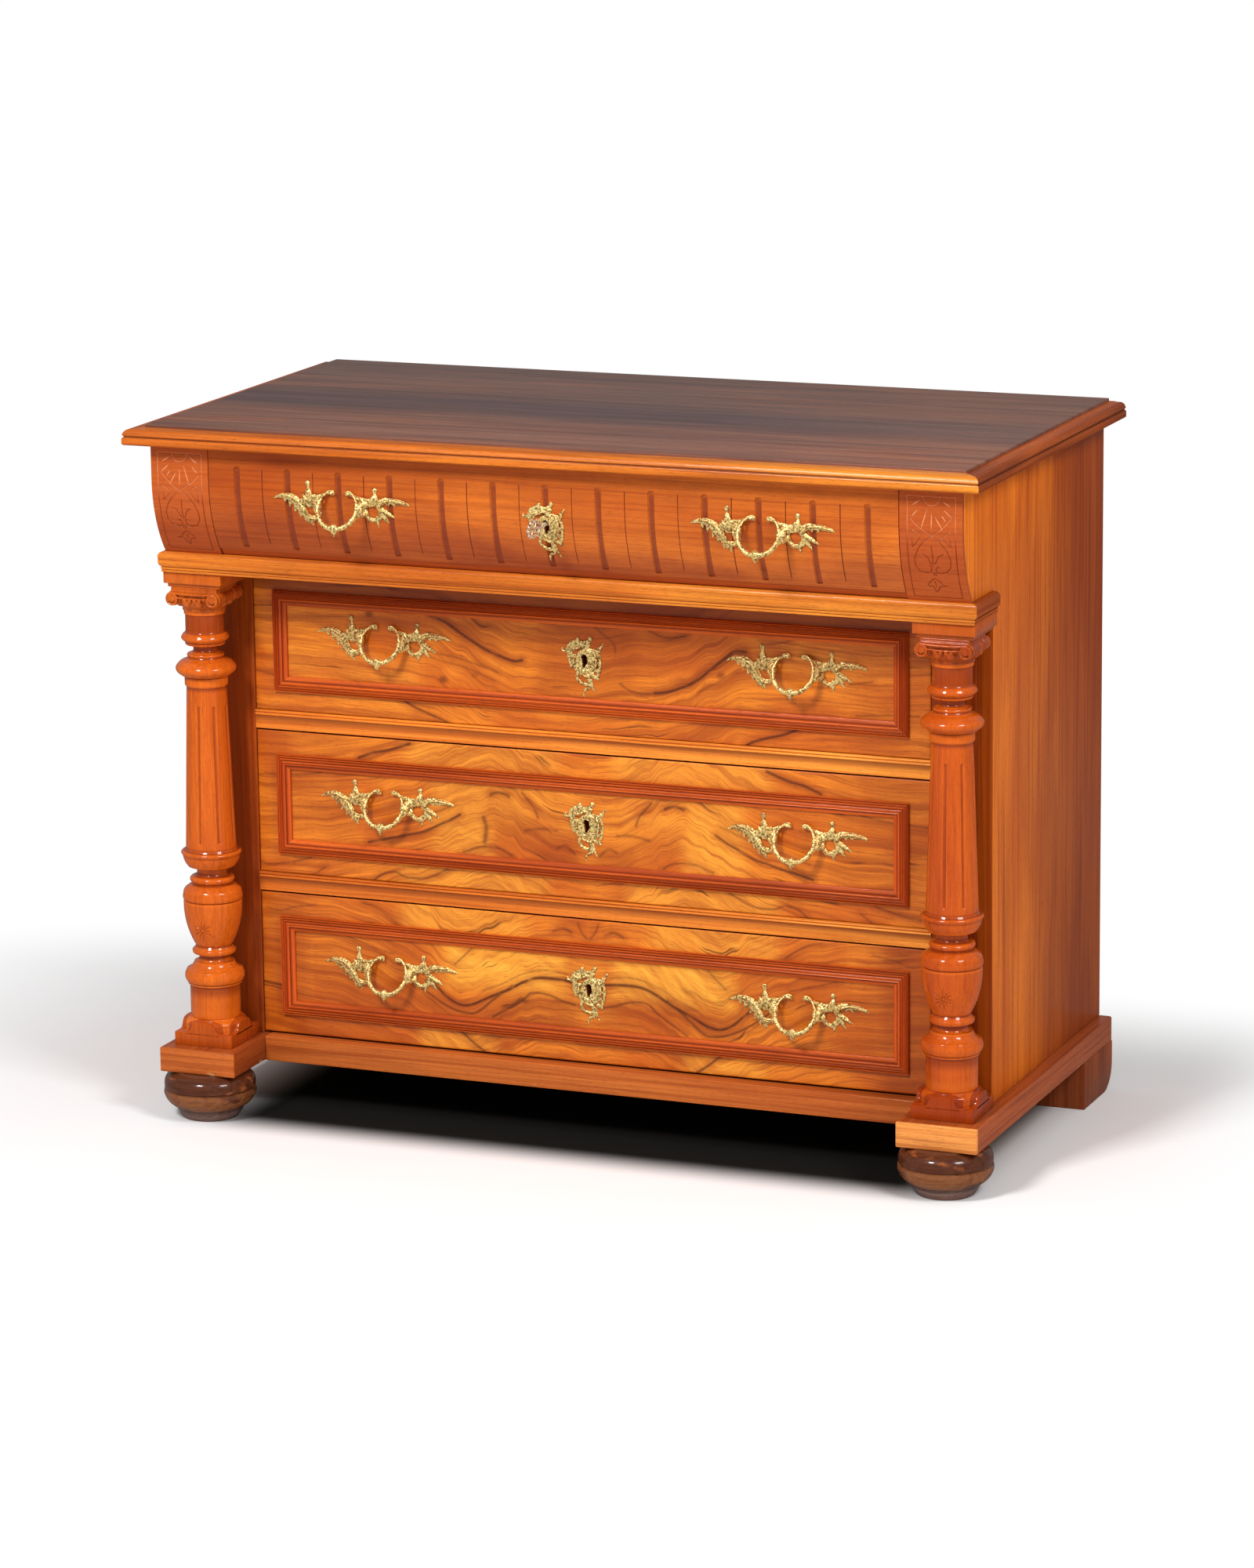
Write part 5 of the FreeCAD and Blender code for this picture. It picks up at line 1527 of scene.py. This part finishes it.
handle = {
    "voxel": 0.75, "flatness": 0.45, "faces": 0.45, "noise": [(420.0, 0.36), (900.0, 0.24)],
    "strokes": [
        [(-87.4, 2.6, 1.2), (-80, 5.6, 2.6), (-73, 6.6, 3.8), (-66, 5.5, 5.0), (-59, 2.5, 6.0),
         (-54, -3, 6.6), (-50, -9, 6.0), (-46, -15, 5.2), (-42.5, -21, 4.4), (-39.5, -25, 3.4),
         (-37, -30.5, 1.1)],
        [(-72, 3, 2.6), (-72, -2.5, 1.0)], [(-65, 0, 3.2), (-66.5, -7.5, 1.0)],
        [(-58, -6, 3.4), (-60, -14, 1.0)],
        [(-52, -14, 3.2), (-53, -20.5, 1.0)], [(-46, -21, 2.6), (-46.5, -27, 0.9)],
        [(-47, 0, 5.4), (-41, 3, 6.0), (-35, 4.5, 6.0), (-29.5, 3, 5.6)],
        [(-40, -3, 4.2), (-33, -2.6, 4.6), (-27.5, -4, 4.0)],
        [(-41.5, -19.5, 4.0), (-36, -20.5, 4.0), (-30, -19, 3.4), (-26.5, -13.5, 3.0)],
        [(-40.4, 23.6, 3.5), (-40, 17.4, 2.0), (-40, 13.4, 3.9), (-39, 8, 5.2)],
        [(-31, 7, 3.6, 2.4), (-24, 8.6, 2.9, 3.6), (-17.5, 11, 2.2, 3.8), (-11, 13.8, 2.0, 4.0),
         (-7.4, 13.2, 2.5, 4.0)],
        [(-30, 8, 3.4, 2.6), (-26, 3, 4.4, 4.5), (-24.6, -4, 4.6, 7.5), (-25, -10, 3.6, 9.5)],
        [(35, 7, 3.2, 2.6), (33, 2, 4.2, 4.5), (32.6, -4, 4.4, 8.0), (32, -10, 3.8, 11.0)],
        [(-32, 2, 4.8, 2.6), (-28, 1, 4.4, 5.0), (-24.6, -1.5, 3.8, 9.0), (-22.4, -3.5, 3.2, 12.4)],
        [(-30, -8, 3.8, 3.0), (-26, -9, 3.4, 8.0), (-22.2, -9.5, 3.2, 13.0)],
        [(24, 9, 2.4), (30, 6, 3.8), (36, 4, 4.8), (42, 3.4, 5.6), (48, 5, 5.6), (50, 10.5, 4.2)],
        [(50, 19.4, 3.4), (50, 14.6, 2.0), (50, 11, 3.6)],
        [(54, 1, 4.4), (58, 5, 4.4), (64, 7.4, 4.2), (71, 7.2, 4.0), (79, 6.6, 3.8), (86, 5.6, 3.2),
         (92, 4, 2.4), (96, 2.2, 1.1)],
        [(66, 5, 3.0), (68, 0.5, 1.0)], [(74, 5, 3.0), (76.5, 0.8, 1.0)],
        [(56, -3, 3.8), (62, -6.5, 3.5), (68, -10, 3.0), (74.5, -14.2, 1.2)],
        [(57, -9, 3.4), (62, -15, 2.9), (66.5, -21.5, 0.9)],
        [(52.5, -15, 3.2), (51.2, -21, 2.2), (51.3, -27.5, 0.8)],
        [(36, -4, 4.0), (37, -11.5, 3.8), (42, -17.4, 3.2), (48, -18.4, 3.4), (55, -14.5, 3.4),
         (57, -8, 3.4)],
        [(31, 7, 3.4, 2.4), (25, 9.5, 2.6, 3.6), (20, 12.4, 2.0, 3.8), (14.5, 13.4, 2.3, 4.0)],
        [(36, 2, 4.8, 2.6), (33, 0.5, 4.4, 5.0), (31, -1.5, 3.8, 9.0), (29.8, -3.5, 3.2, 12.6)],
        [(37, -9, 4.0, 3.0), (32.5, -11, 3.8, 8.0), (28.6, -12.5, 3.4, 13.6), (24.5, -19, 3.2, 16.6),
         (18.5, -24.6, 2.8, 19.4)],
    ],
    "veins": [
        [(-80, 6, 1.0, 2.0), (-68, 7.5, 1.5, 3.4), (-55, 1.5, 1.7, 4.2), (-45, -13, 1.5, 3.6),
         (-39, -25, 1.0, 2.4)],
        [(-46, 9, 1.3, 3.4), (-43, 4, 1.7, 4.4), (-44, -2, 1.3, 4.0)],
        [(-35, 10, 1.3, 3.4), (-36, 4, 1.6, 4.4), (-37, -2, 1.3, 3.8)],
        [(-29, 8, 1.2, 3.4), (-30, 2, 1.5, 4.4), (-31, -5, 1.2, 3.6)],
        [(-41, -19, 1.3, 3.2), (-33, -21, 1.4, 3.4), (-27, -16, 1.1, 3.0)],
        [(34, 7, 1.2, 3.2), (38, 2, 1.5, 4.2), (39, -2, 1.2, 3.4)],
        [(47, 11, 1.3, 3.4), (46, 5, 1.6, 4.4), (48, 0, 1.3, 3.8)],
        [(90, 5, 1.0, 2.4), (76, 8, 1.5, 3.4), (62, 6, 1.6, 3.8), (55, 0, 1.5, 4.2)],
        [(58, -4, 1.3, 3.4), (70, -11, 1.0, 2.4)],
        [(37, -5, 1.3, 3.4), (38, -13, 1.3, 3.2), (46, -19, 1.1, 2.8)],
    ],
    "pins": [(-57, 3), (-32, -5.5), (57, 1), (36, -2)], "pinRadius": 2.0, "pinProud": 3.6,
    "ring": {
        "across": 4.0, "up": -4.0, "radius": 26.0, "wire": 2.6, "lean": 24.0, "open": 62.0, "proud": 2.6,
        "curl": [(5.0, -3.6, 1.9), (4.4, -0.2, 1.7)],
    },
    # below the ring: a hanging leaf and a small wing to each side
    "leaf": [(2.4, 4.4), (-2.5, 4.0), (-8.6, 1.1)],
    "wing": [(1.5, 1.4, 2.8, 0.8), (7.0, 1.6, 2.2, 1.0)],
}

plate = {
    "voxel": 0.65, "flatness": 0.60, "faces": 0.5, "noise": [(420.0, 0.36), (900.0, 0.22)],
    "masses": [
        (-14, 15, 4.2), (-18, 10, 3.0), (-6, 17, 4.0), (2, 14, 3.6), (-13, 2, 3.0), (-13, -6, 3.0),
        (12, 9, 3.6), (16.5, 4, 3.0), (16.5, -6, 3.0), (15, -14, 3.0), (10, -18, 3.2), (-3, -19, 3.4),
        (-8, -15, 3.2), (3, -21, 3.2), (6, -26, 3.0),
    ],
    "veins": [
        [(-18, 13, 1.2, 2.8), (-10, 12, 1.4, 3.4), (-3, 15, 1.2, 3.0)],
        [(14, 8, 1.2, 2.8), (17, -2, 1.4, 3.4), (15, -12, 1.2, 3.0)],
        [(-13, -1, 1.2, 2.8), (-14, -9, 1.3, 3.0)], [(-4, -20, 1.2, 3.0), (4, -23, 1.3, 3.2)],
    ],
    "strokes": [
        [(-29, 10.8, 1.4), (-29, 7.7, 1.7), (-23.7, 8.2, 2.0), (-20.5, 11.5, 2.2)],
        [(-20.5, 8.5, 2.2), (-20.6, 1.3, 2.4), (-19.1, -5.6, 2.2), (-16.5, -11.5, 2.4)],
        [(-8.7, 15.1, 2.2), (-15.2, 9, 1.8), (-17.4, 0.6, 1.6), (-15.9, -7.4, 1.8), (-12.3, -12.2, 2.4),
         (-9.2, -18, 2.2)],
        [(-21.5, 11.4, 2.4), (-20.4, 15.6, 2.2), (-13.9, 19.7, 2.4), (-6.5, 19.9, 2.6), (-1.3, 14.3, 2.6)],
        [(-8.6, 22.3, 2.0), (-8.6, 24.3, 2.8)], [(8.5, 25.3, 2.8), (7.4, 22.2, 2.2)],
        [(-20.4, 14.6, 2.8), (-18.4, 14.6, 2.4)], [(5.2, 16.9, 2.8), (4.0, 15.0, 2.4)],
        [(-5.4, 20, 2.2), (-0.1, 19.5, 2.2), (7.4, 22.2, 2.2)],
        [(-0.3, 9.3, 2.6), (4, 13.7, 2.6), (7.3, 18.1, 2.2)],
        [(-9, -3.7, 2.4), (-6.8, 4.5, 2.8), (-0.3, 8.6, 3.0), (7.3, 8.1, 2.8), (12.0, 1.7, 2.6),
         (12.8, -6.7, 2.6), (9.1, -13.6, 2.8), (-0.7, -16.6, 2.8), (-7.2, -12.9, 2.6), (-9, -3.7, 2.4)],
        [(8.3, 11.1, 2.0), (15.7, 9.7, 2.0), (19.8, 4, 2.0), (21.3, -4, 2.0), (20.1, -13.3, 2.2),
         (17.4, -21.7, 2.4)],
        [(18.8, 5.9, 2.0), (21, 12.2, 1.8), (25.4, 19.7, 1.4)],
        [(17.8, 8.9, 1.8), (18.9, 14, 1.4)],
        [(6.8, -15.5, 2.6), (9.9, -20.3, 2.6), (15.2, -23.9, 2.4), (18.3, -25.7, 1.6)],
        [(-9.2, -18, 2.2), (-10.3, -24.2, 2.2), (-7.2, -29, 2.2), (-3, -31.7, 2.4), (2.3, -32.9, 2.4),
         (5.5, -29.9, 2.2), (5.6, -22.7, 2.0), (1.4, -19.1, 2.0), (-4.9, -19.6, 2.0)],
        [(5.6, -27.8, 2.0), (6.5, -36.9, 1.9), (1.2, -39.5, 1.8), (-1.1, -44.8, 1.5), (-1.1, -49.0, 0.9)],
        [(8.8, -27.6, 1.8), (10.8, -35.5, 1.6), (14.0, -42.3, 0.9)],
    ],
    "disc": [(-4.6, -9.5, 3.6), (-4.4, -2, 3.6), (0, 3.6, 3.8), (5.4, 2.2, 3.8), (7.4, -6, 3.6),
             (3.2, -11.6, 3.8), (-4.6, -9.5, 3.6)],
}


def ballShape(places):
    # one mesh of small balls, each under its own matrix
    ball = bmesh.new()
    bmesh.ops.create_icosphere(ball, subdivisions=2, radius=1.0)
    spots = [vert.co.copy() for vert in ball.verts]
    faces = [[vert.index for vert in face.verts] for face in ball.faces]
    ball.free()
    points, corners = [], []
    for place in places:
        start = len(points)
        points += [place @ spot for spot in spots]
        corners += [[start + index for index in face] for face in faces]
    mesh = bpy.data.meshes.new("balls")
    mesh.from_pydata(points, [], corners)
    bm = bmesh.new()
    bm.from_mesh(mesh)
    bpy.data.meshes.remove(mesh)
    return bm


def dab(place, across, deep, up):
    return Matrix.Translation(place) @ Matrix.Diagonal((across * mm, deep * mm, up * mm, 1))


def addStroke(balls, knots, flatness, spacing=0.4):
    # a string of flattened balls along a smooth line; the remesh joins them
    full = [knot if len(knot) == 4 else (*knot, knot[2] * flatness * 0.55) for knot in knots]
    last = None
    for across, up, radius, proud in curvePoints(full, 0.6):
        place = Vector((across, -proud, up))
        if last is not None and (place - last).length < radius * spacing:
            continue
        last = place
        balls.append(dab(place * mm, radius, radius * (flatness if proud < radius else 1.0), radius))


def ringStroke(ring):
    # the bow: a leaning ring, open at the top, whose ends curl in
    lean = math.radians(ring["lean"])
    knots = []
    for degrees in range(int(90 + ring["open"] / 2), int(450 - ring["open"] / 2) + 1, 8):
        turn = math.radians(degrees)
        rise = ring["radius"] * math.sin(turn)
        proud = ring["proud"] + (ring["radius"] - rise) * math.sin(lean)
        thick = ring["wire"] * (0.84 - 0.42 * math.sin(turn) + 0.10 * math.sin(turn * 9.0))
        knots.append((ring["across"] + ring["radius"] * math.cos(turn), ring["up"] + rise * math.cos(lean),
                      thick, proud))
    curls = []
    for (across, up, _, proud), side in ((knots[0], 1), (knots[-1], -1)):
        curls.append([(across + side * inward, up + rise, thick, proud)
                      for inward, rise, thick in ring["curl"]])
    return curls[0] + knots + curls[1][::-1]


def castShape(design, extra):
    balls = []
    for knots in design["strokes"] + design["veins"]:
        addStroke(balls, knots, design["flatness"])
    for mass in design.get("masses", []):
        addStroke(balls, [mass], 0.35)
    extra(balls)
    bm = remeshed(ballShape(balls), design["voxel"])
    for vert in bm.verts:
        grain = sum(noise.noise(vert.co * scale) * depth for scale, depth in design["noise"])
        vert.co += vert.normal * grain * mm
    softened(bm)
    markHollows(bm, brassSizes["hollows"], 2)
    for vert in bm.verts:
        vert.co.y = min(vert.co.y, 0.0)
    return throughModifiers(bm, ("DECIMATE", {"ratio": design["faces"]}))


def addHandleParts(balls):
    ring = handle["ring"]
    addStroke(balls, ringStroke(ring), 1.0)
    foot = ring["up"] - ring["radius"] * math.cos(math.radians(ring["lean"]))
    proud = ring["proud"] + 2 * ring["radius"] * math.sin(math.radians(ring["lean"]))
    x = ring["across"]
    addStroke(balls, [(x, foot + up, radius, proud) for up, radius in handle["leaf"]], 0.8)
    for side in (-1, 1):
        wing = [(x + side * across, foot + up, radius, proud + out)
                for across, up, radius, out in handle["wing"]]
        addStroke(balls, wing, 1.0)
    for across, up in handle["pins"]:
        addStroke(balls, [(across, up, handle["pinRadius"], handle["pinProud"])], 1.0)


def addPlateParts(balls):
    addStroke(balls, plate["disc"], 0.42)


def bentOver(bm, place, level, bulging):
    # puts a casting on a drawer's face; on the bulging front it follows the face
    for vert in bm.verts:
        proud = -vert.co.y
        height = level + vert.co.z
        if bulging:
            root = bulgeAt(level + handle["ring"]["radius"] * 0.5 * mm)
            share = smoothStep(proud, 4 * mm, 12 * mm)
            back = bulgeAt(height) * (1 - share) + root * share
        else:
            back = place.y
        vert.co = Vector((vert.co.x + place.x, back - proud, height))


def handlePlaces(number):
    low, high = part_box("handles_%d" % number)
    width = brassSizes["handleWidth"] * mm
    level = high.z - brassSizes["handleLevelBelowTop"] * mm
    return level, (low.x + width * brassSizes["leftShare"], high.x - width * brassSizes["rightShare"])


def makeBrass():
    casting = castShape(handle, addHandleParts)
    badge = castShape(plate, addPlateParts)
    for number in (1, 2, 3, 4):
        bulging = number == 4
        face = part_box("drawer_front_%d" % number)[0].y
        level, places = handlePlaces(number)
        pair = []
        for x in places:
            copy = casting.copy()
            bentOver(copy, Vector((x, face, 0)), level, bulging)
            pair.append(copy)
        node = "handles_%d" % number
        makePiece(merged(*pair), "brass_" + node, brass, [node], sharp=60)
        copy = badge.copy()
        bentOver(copy, Vector((0, face, 0)), keyLevel(number), bulging)
        copy = throughCuts(copy, holeCutter(keyLevel(number), face - 20 * mm, face + 20 * mm))
        node = "escutcheon_%d" % number
        makePiece(copy, "brass_" + node, brass, [node], sharp=60)
    casting.free()
    badge.free()


makeBrass()
print("brass ready")


# Key: its bow stands in the upright plane through the shank; (back, up, radius) in mm from the bow's middle

keyShape = {
    "voxel": 0.6, "hollows": 4200.0, "shank": 2.8, "bowLength": 41.0, "bowHeight": 25.0, "flatness": 0.8,
    # the rim and its knobs: (degrees between them, distance from the edge, radius)
    "rims": [(5, 3.2, 1.9), (30, 2.9, 2.9)],
    "barPitch": 1.6, "bar": 1.7, "barCount": 11,
    "crossStart": 2.0, "crossStep": (0.9, 1.15), "cross": 1.3, "crossCount": 8,
    # collars between bow and shank: (back, radius)
    "collars": [(0.0, 4.2), (2.4, 3.4), (4.6, 3.9)], "collarStart": 1.2, "collarThick": 1.3,
}


def makeKey():
    low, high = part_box("key")
    level = (low.z + high.z) / 2
    bowBack = low.y + keyShape["bowLength"] * mm
    half = keyShape["bowLength"] / 2
    rise = keyShape["bowHeight"] / 2
    middle = low.y + half * mm
    balls = []

    def place(back, up, radius):
        spot = Vector((0, middle + back * mm, level + up * mm))
        balls.append(dab(spot, radius * keyShape["flatness"], radius, radius))

    for step, inset, radius in keyShape["rims"]:
        for degrees in range(0, 360, step):
            turn = math.radians(degrees)
            place((half - inset) * math.cos(turn), (rise - inset) * math.sin(turn), radius)
    for count in range(-keyShape["barCount"], keyShape["barCount"] + 1):
        place(count * keyShape["barPitch"], 0.0, keyShape["bar"])
    for side in (-1, 1):
        for count in range(keyShape["crossCount"]):
            back, up = (count * step for step in keyShape["crossStep"])
            for height in (up, -up):
                place(side * (keyShape["crossStart"] + back), height, keyShape["cross"])
    for back, radius in keyShape["collars"]:
        spot = Vector((0, bowBack + (back + keyShape["collarStart"]) * mm, level))
        balls.append(dab(spot, radius, keyShape["collarThick"], radius))
    shank = bmesh.new()
    along = Matrix.Translation((0, (bowBack + high.y) / 2, level)) @ Matrix.Rotation(math.pi / 2, 4, "X")
    bmesh.ops.create_cone(shank, cap_ends=True, segments=24, radius1=keyShape["shank"] * mm,
                          radius2=keyShape["shank"] * mm, depth=high.y - bowBack + 2 * mm, matrix=along)
    bm = remeshed(merged(ballShape(balls), shank), keyShape["voxel"])
    softened(bm)
    markHollows(bm, keyShape["hollows"], 2)
    makePiece(bm, "brass_key", highlitKeyBrass, ["key"], sharp=60)


makeKey()


# Capitals: a solid core with scroll rims, eyes and eggs laid over it, carved as one

capitalShape = {
    "voxel": 0.7, "faces": 0.5, "hollows": 3600.0, "scrollRadius": 9.4, "scrollAcross": 27.5,
    "scrollLevel": 673.6, "rim": 1.5, "rimFlatness": 0.9, "turns": 1.3, "spiralSteps": 90, "eye": 4.4,
    "eyeFlatness": 0.32, "halfSteps": 30, "sag": 1.4, "line": 1.0, "lineGap": 5.0, "lineSag": 1.4,
    "eggs": (-10.0, -3.4, 3.4, 10.0), "egg": (2.7, 2.6, 3.9), "eggSunk": 1.2, "eggDrop": 1.5,
}


def spiralKnots(side, radius, turns, steps):
    knots = []
    for count in range(steps + 1):
        share = count / steps
        turn = math.pi / 2 + side * -2 * math.pi * turns * (1 - share)
        reach = radius * (0.66 + 0.34 * share)
        knots.append((reach * math.cos(turn), reach * math.sin(turn)))
    return knots


def makeCapitals():
    shape = capitalShape
    low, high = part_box("capital_right")
    centre = (low + high) / 2
    balls = []
    level = shape["scrollLevel"] * mm
    spread = shape["scrollAcross"] * mm
    inner = shape["scrollRadius"] - shape["rim"]

    def ball(x, y, z, radius, flat=1.0):
        balls.append(dab(Vector((x, y, z)), radius, radius * flat, radius))

    for face, outward in ((low.y, -1), (high.y, 1)):
        for side in (-1, 1):
            middle = centre.x + side * spread
            for across, up in spiralKnots(side, inner, shape["turns"], shape["spiralSteps"]):
                ball(middle + across * mm, face, level + up * mm, shape["rim"], shape["rimFlatness"])
            ball(middle, face, level, shape["eye"], shape["eyeFlatness"])
        # from scroll to scroll a sagging rim, with a thinner line below it
        for count in range(2 * shape["halfSteps"] + 1):
            share = count / shape["halfSteps"] - 1
            x = centre.x + spread * share
            sag = shape["sag"] * (1 - share ** 2) * mm
            rim = level + inner * mm
            ball(x, face, rim - sag, shape["rim"], shape["rimFlatness"])
            ball(x, face, rim - shape["lineGap"] * mm - sag * shape["lineSag"], shape["line"],
                 shape["rimFlatness"])
        for x in shape["eggs"]:
            place = Vector((centre.x + x * mm, face - outward * shape["eggSunk"] * mm,
                            level - shape["eggDrop"] * mm))
            balls.append(dab(place, *shape["egg"]))
    bm = remeshed(merged(cadShape("capital_right"), ballShape(balls)), shape["voxel"])
    softened(bm)
    markHollows(bm, shape["hollows"], 2)
    bm = throughModifiers(bm, ("DECIMATE", {"ratio": shape["faces"]}))
    makePair(bm, "carved_capital", woods["capital"], "capital", sharp=60)


makeCapitals()
print("capitals ready")


# Floor, camera and light

studio = {
    "floorReach": 14.0, "floorColour": (0.93, 0.93, 0.93), "floorDull": 0.7,
    # painted shadow on the floor under the chest: its colour, its middle, and where it fades in x and in y
    "under": (0.012, 0.011, 0.010), "underMiddle": 0.045, "underX": (0.43, 0.55), "underY": (0.235, 0.325),
    # where the floor turns white: (slope, start) to the right and to the left, start in y, and the fade
    "whiteSides": ((1.7, 1.02), (-0.55, 0.33)), "whiteDeep": 0.34, "whiteFade": (0.03, 0.42),
    "lens": 128.22, "sensor": 36.0, "clipEnd": 60.0, "cameraPlace": (2.6048, -6.38091, 2.0174),
    "roll": -0.695, "tilt": 12.996, "turn": -22.209,
    "skyLight": 0.34, "skySeen": 1.0, "skyGloss": 0.3, "lampAim": (0, 0, 0.45),
    # name, place, size in m and power in W
    "lamps": [
        ("frontLamp", (-0.9, -3.4, 3.5), 0.9, 150.0),
        ("rightLamp", (3.4, -2.0, 3.5), 1.4, 120.0),
    ],
}


def makeStudio():
    bm = bmesh.new()
    bmesh.ops.create_grid(bm, x_segments=1, y_segments=1, size=studio["floorReach"])
    mesh = bpy.data.meshes.new("floor")
    bm.to_mesh(mesh)
    bm.free()
    floor = onScene("floor", mesh)
    finish = newFinish("floorPale", 0.9, shine=0.0)
    x, y = abs(finish.x), abs(finish.y - studio["underMiddle"])
    # painted shadow under the chest
    under = finish.ramp(x, *studio["underX"], 1.0, 0.0) * finish.ramp(y, *studio["underY"], 1.0, 0.0)
    colour = finish.mix(under, studio["floorColour"], studio["under"])
    gloss = finish.add("ShaderNodeLightPath", output="Is Glossy Ray")
    finish.feed(Base_Color=finish.mix(gloss * studio["floorDull"], colour, (0.0, 0.0, 0.0)))
    # past the chest the floor turns white for the camera, sooner on the right
    x, y = finish.x, finish.y
    side = finish.maths("MAXIMUM", *(x * slope - start for slope, start in studio["whiteSides"]))
    side = finish.maths("MAXIMUM", side, 0.0)
    deep = finish.maths("MAXIMUM", abs(y) - studio["whiteDeep"], 0.0)
    reach = finish.maths("SQRT", side * side + deep * deep)
    seen = finish.add("ShaderNodeLightPath", output="Is Camera Ray")
    bright = finish.add("ShaderNodeEmission", None, {"Color": (1, 1, 1), "Strength": studio["skySeen"]})
    blend = finish.add("ShaderNodeMixShader", None, {
        0: finish.ramp(reach, *studio["whiteFade"]) * seen, 1: Wire(finish, finish.end.outputs[0]),
        2: bright})
    finish.tree.links.new(blend.socket, finish.tree.nodes["Material Output"].inputs["Surface"])
    mesh.materials.append(finish.owner)
    sky = Finish(bpy.data.worlds.new("studio"), "Background", {"Color": (1, 1, 1, 1)})
    scene.world = sky.owner
    seen = sky.add("ShaderNodeLightPath", output="Is Camera Ray")
    gloss = sky.add("ShaderNodeLightPath", output="Is Glossy Ray")
    sky.feed(Strength=studio["skyLight"] + seen * (studio["skySeen"] - studio["skyLight"])
             + gloss * (studio["skyGloss"] - studio["skyLight"]))
    for name, place, size, power in studio["lamps"]:
        lamp = bpy.data.lights.new(name, "AREA")
        lamp.energy, lamp.size = power, size
        holder = onScene(name, lamp)
        holder.location = place
        aim = Vector(studio["lampAim"]) - Vector(place)
        holder.rotation_euler = aim.to_track_quat("-Z", "Y").to_euler()
    lens = bpy.data.cameras.new("camera")
    lens.lens, lens.sensor_width, lens.sensor_fit = studio["lens"], studio["sensor"], "AUTO"
    lens.clip_end = studio["clipEnd"]
    camera = onScene("camera", lens)
    look = Matrix.Identity(3)
    for key, axis in (("roll", "Y"), ("tilt", "X"), ("turn", "Z")):
        look = look @ Matrix.Rotation(math.radians(studio[key]), 3, axis)
    turned = look.transposed() @ Matrix.Rotation(math.pi / 2, 3, "X")
    camera.matrix_world = Matrix.Translation(studio["cameraPlace"]) @ turned.to_4x4()
    scene.camera = camera
    scene.view_settings.view_transform = "Standard"


makeStudio()
print("studio ready")
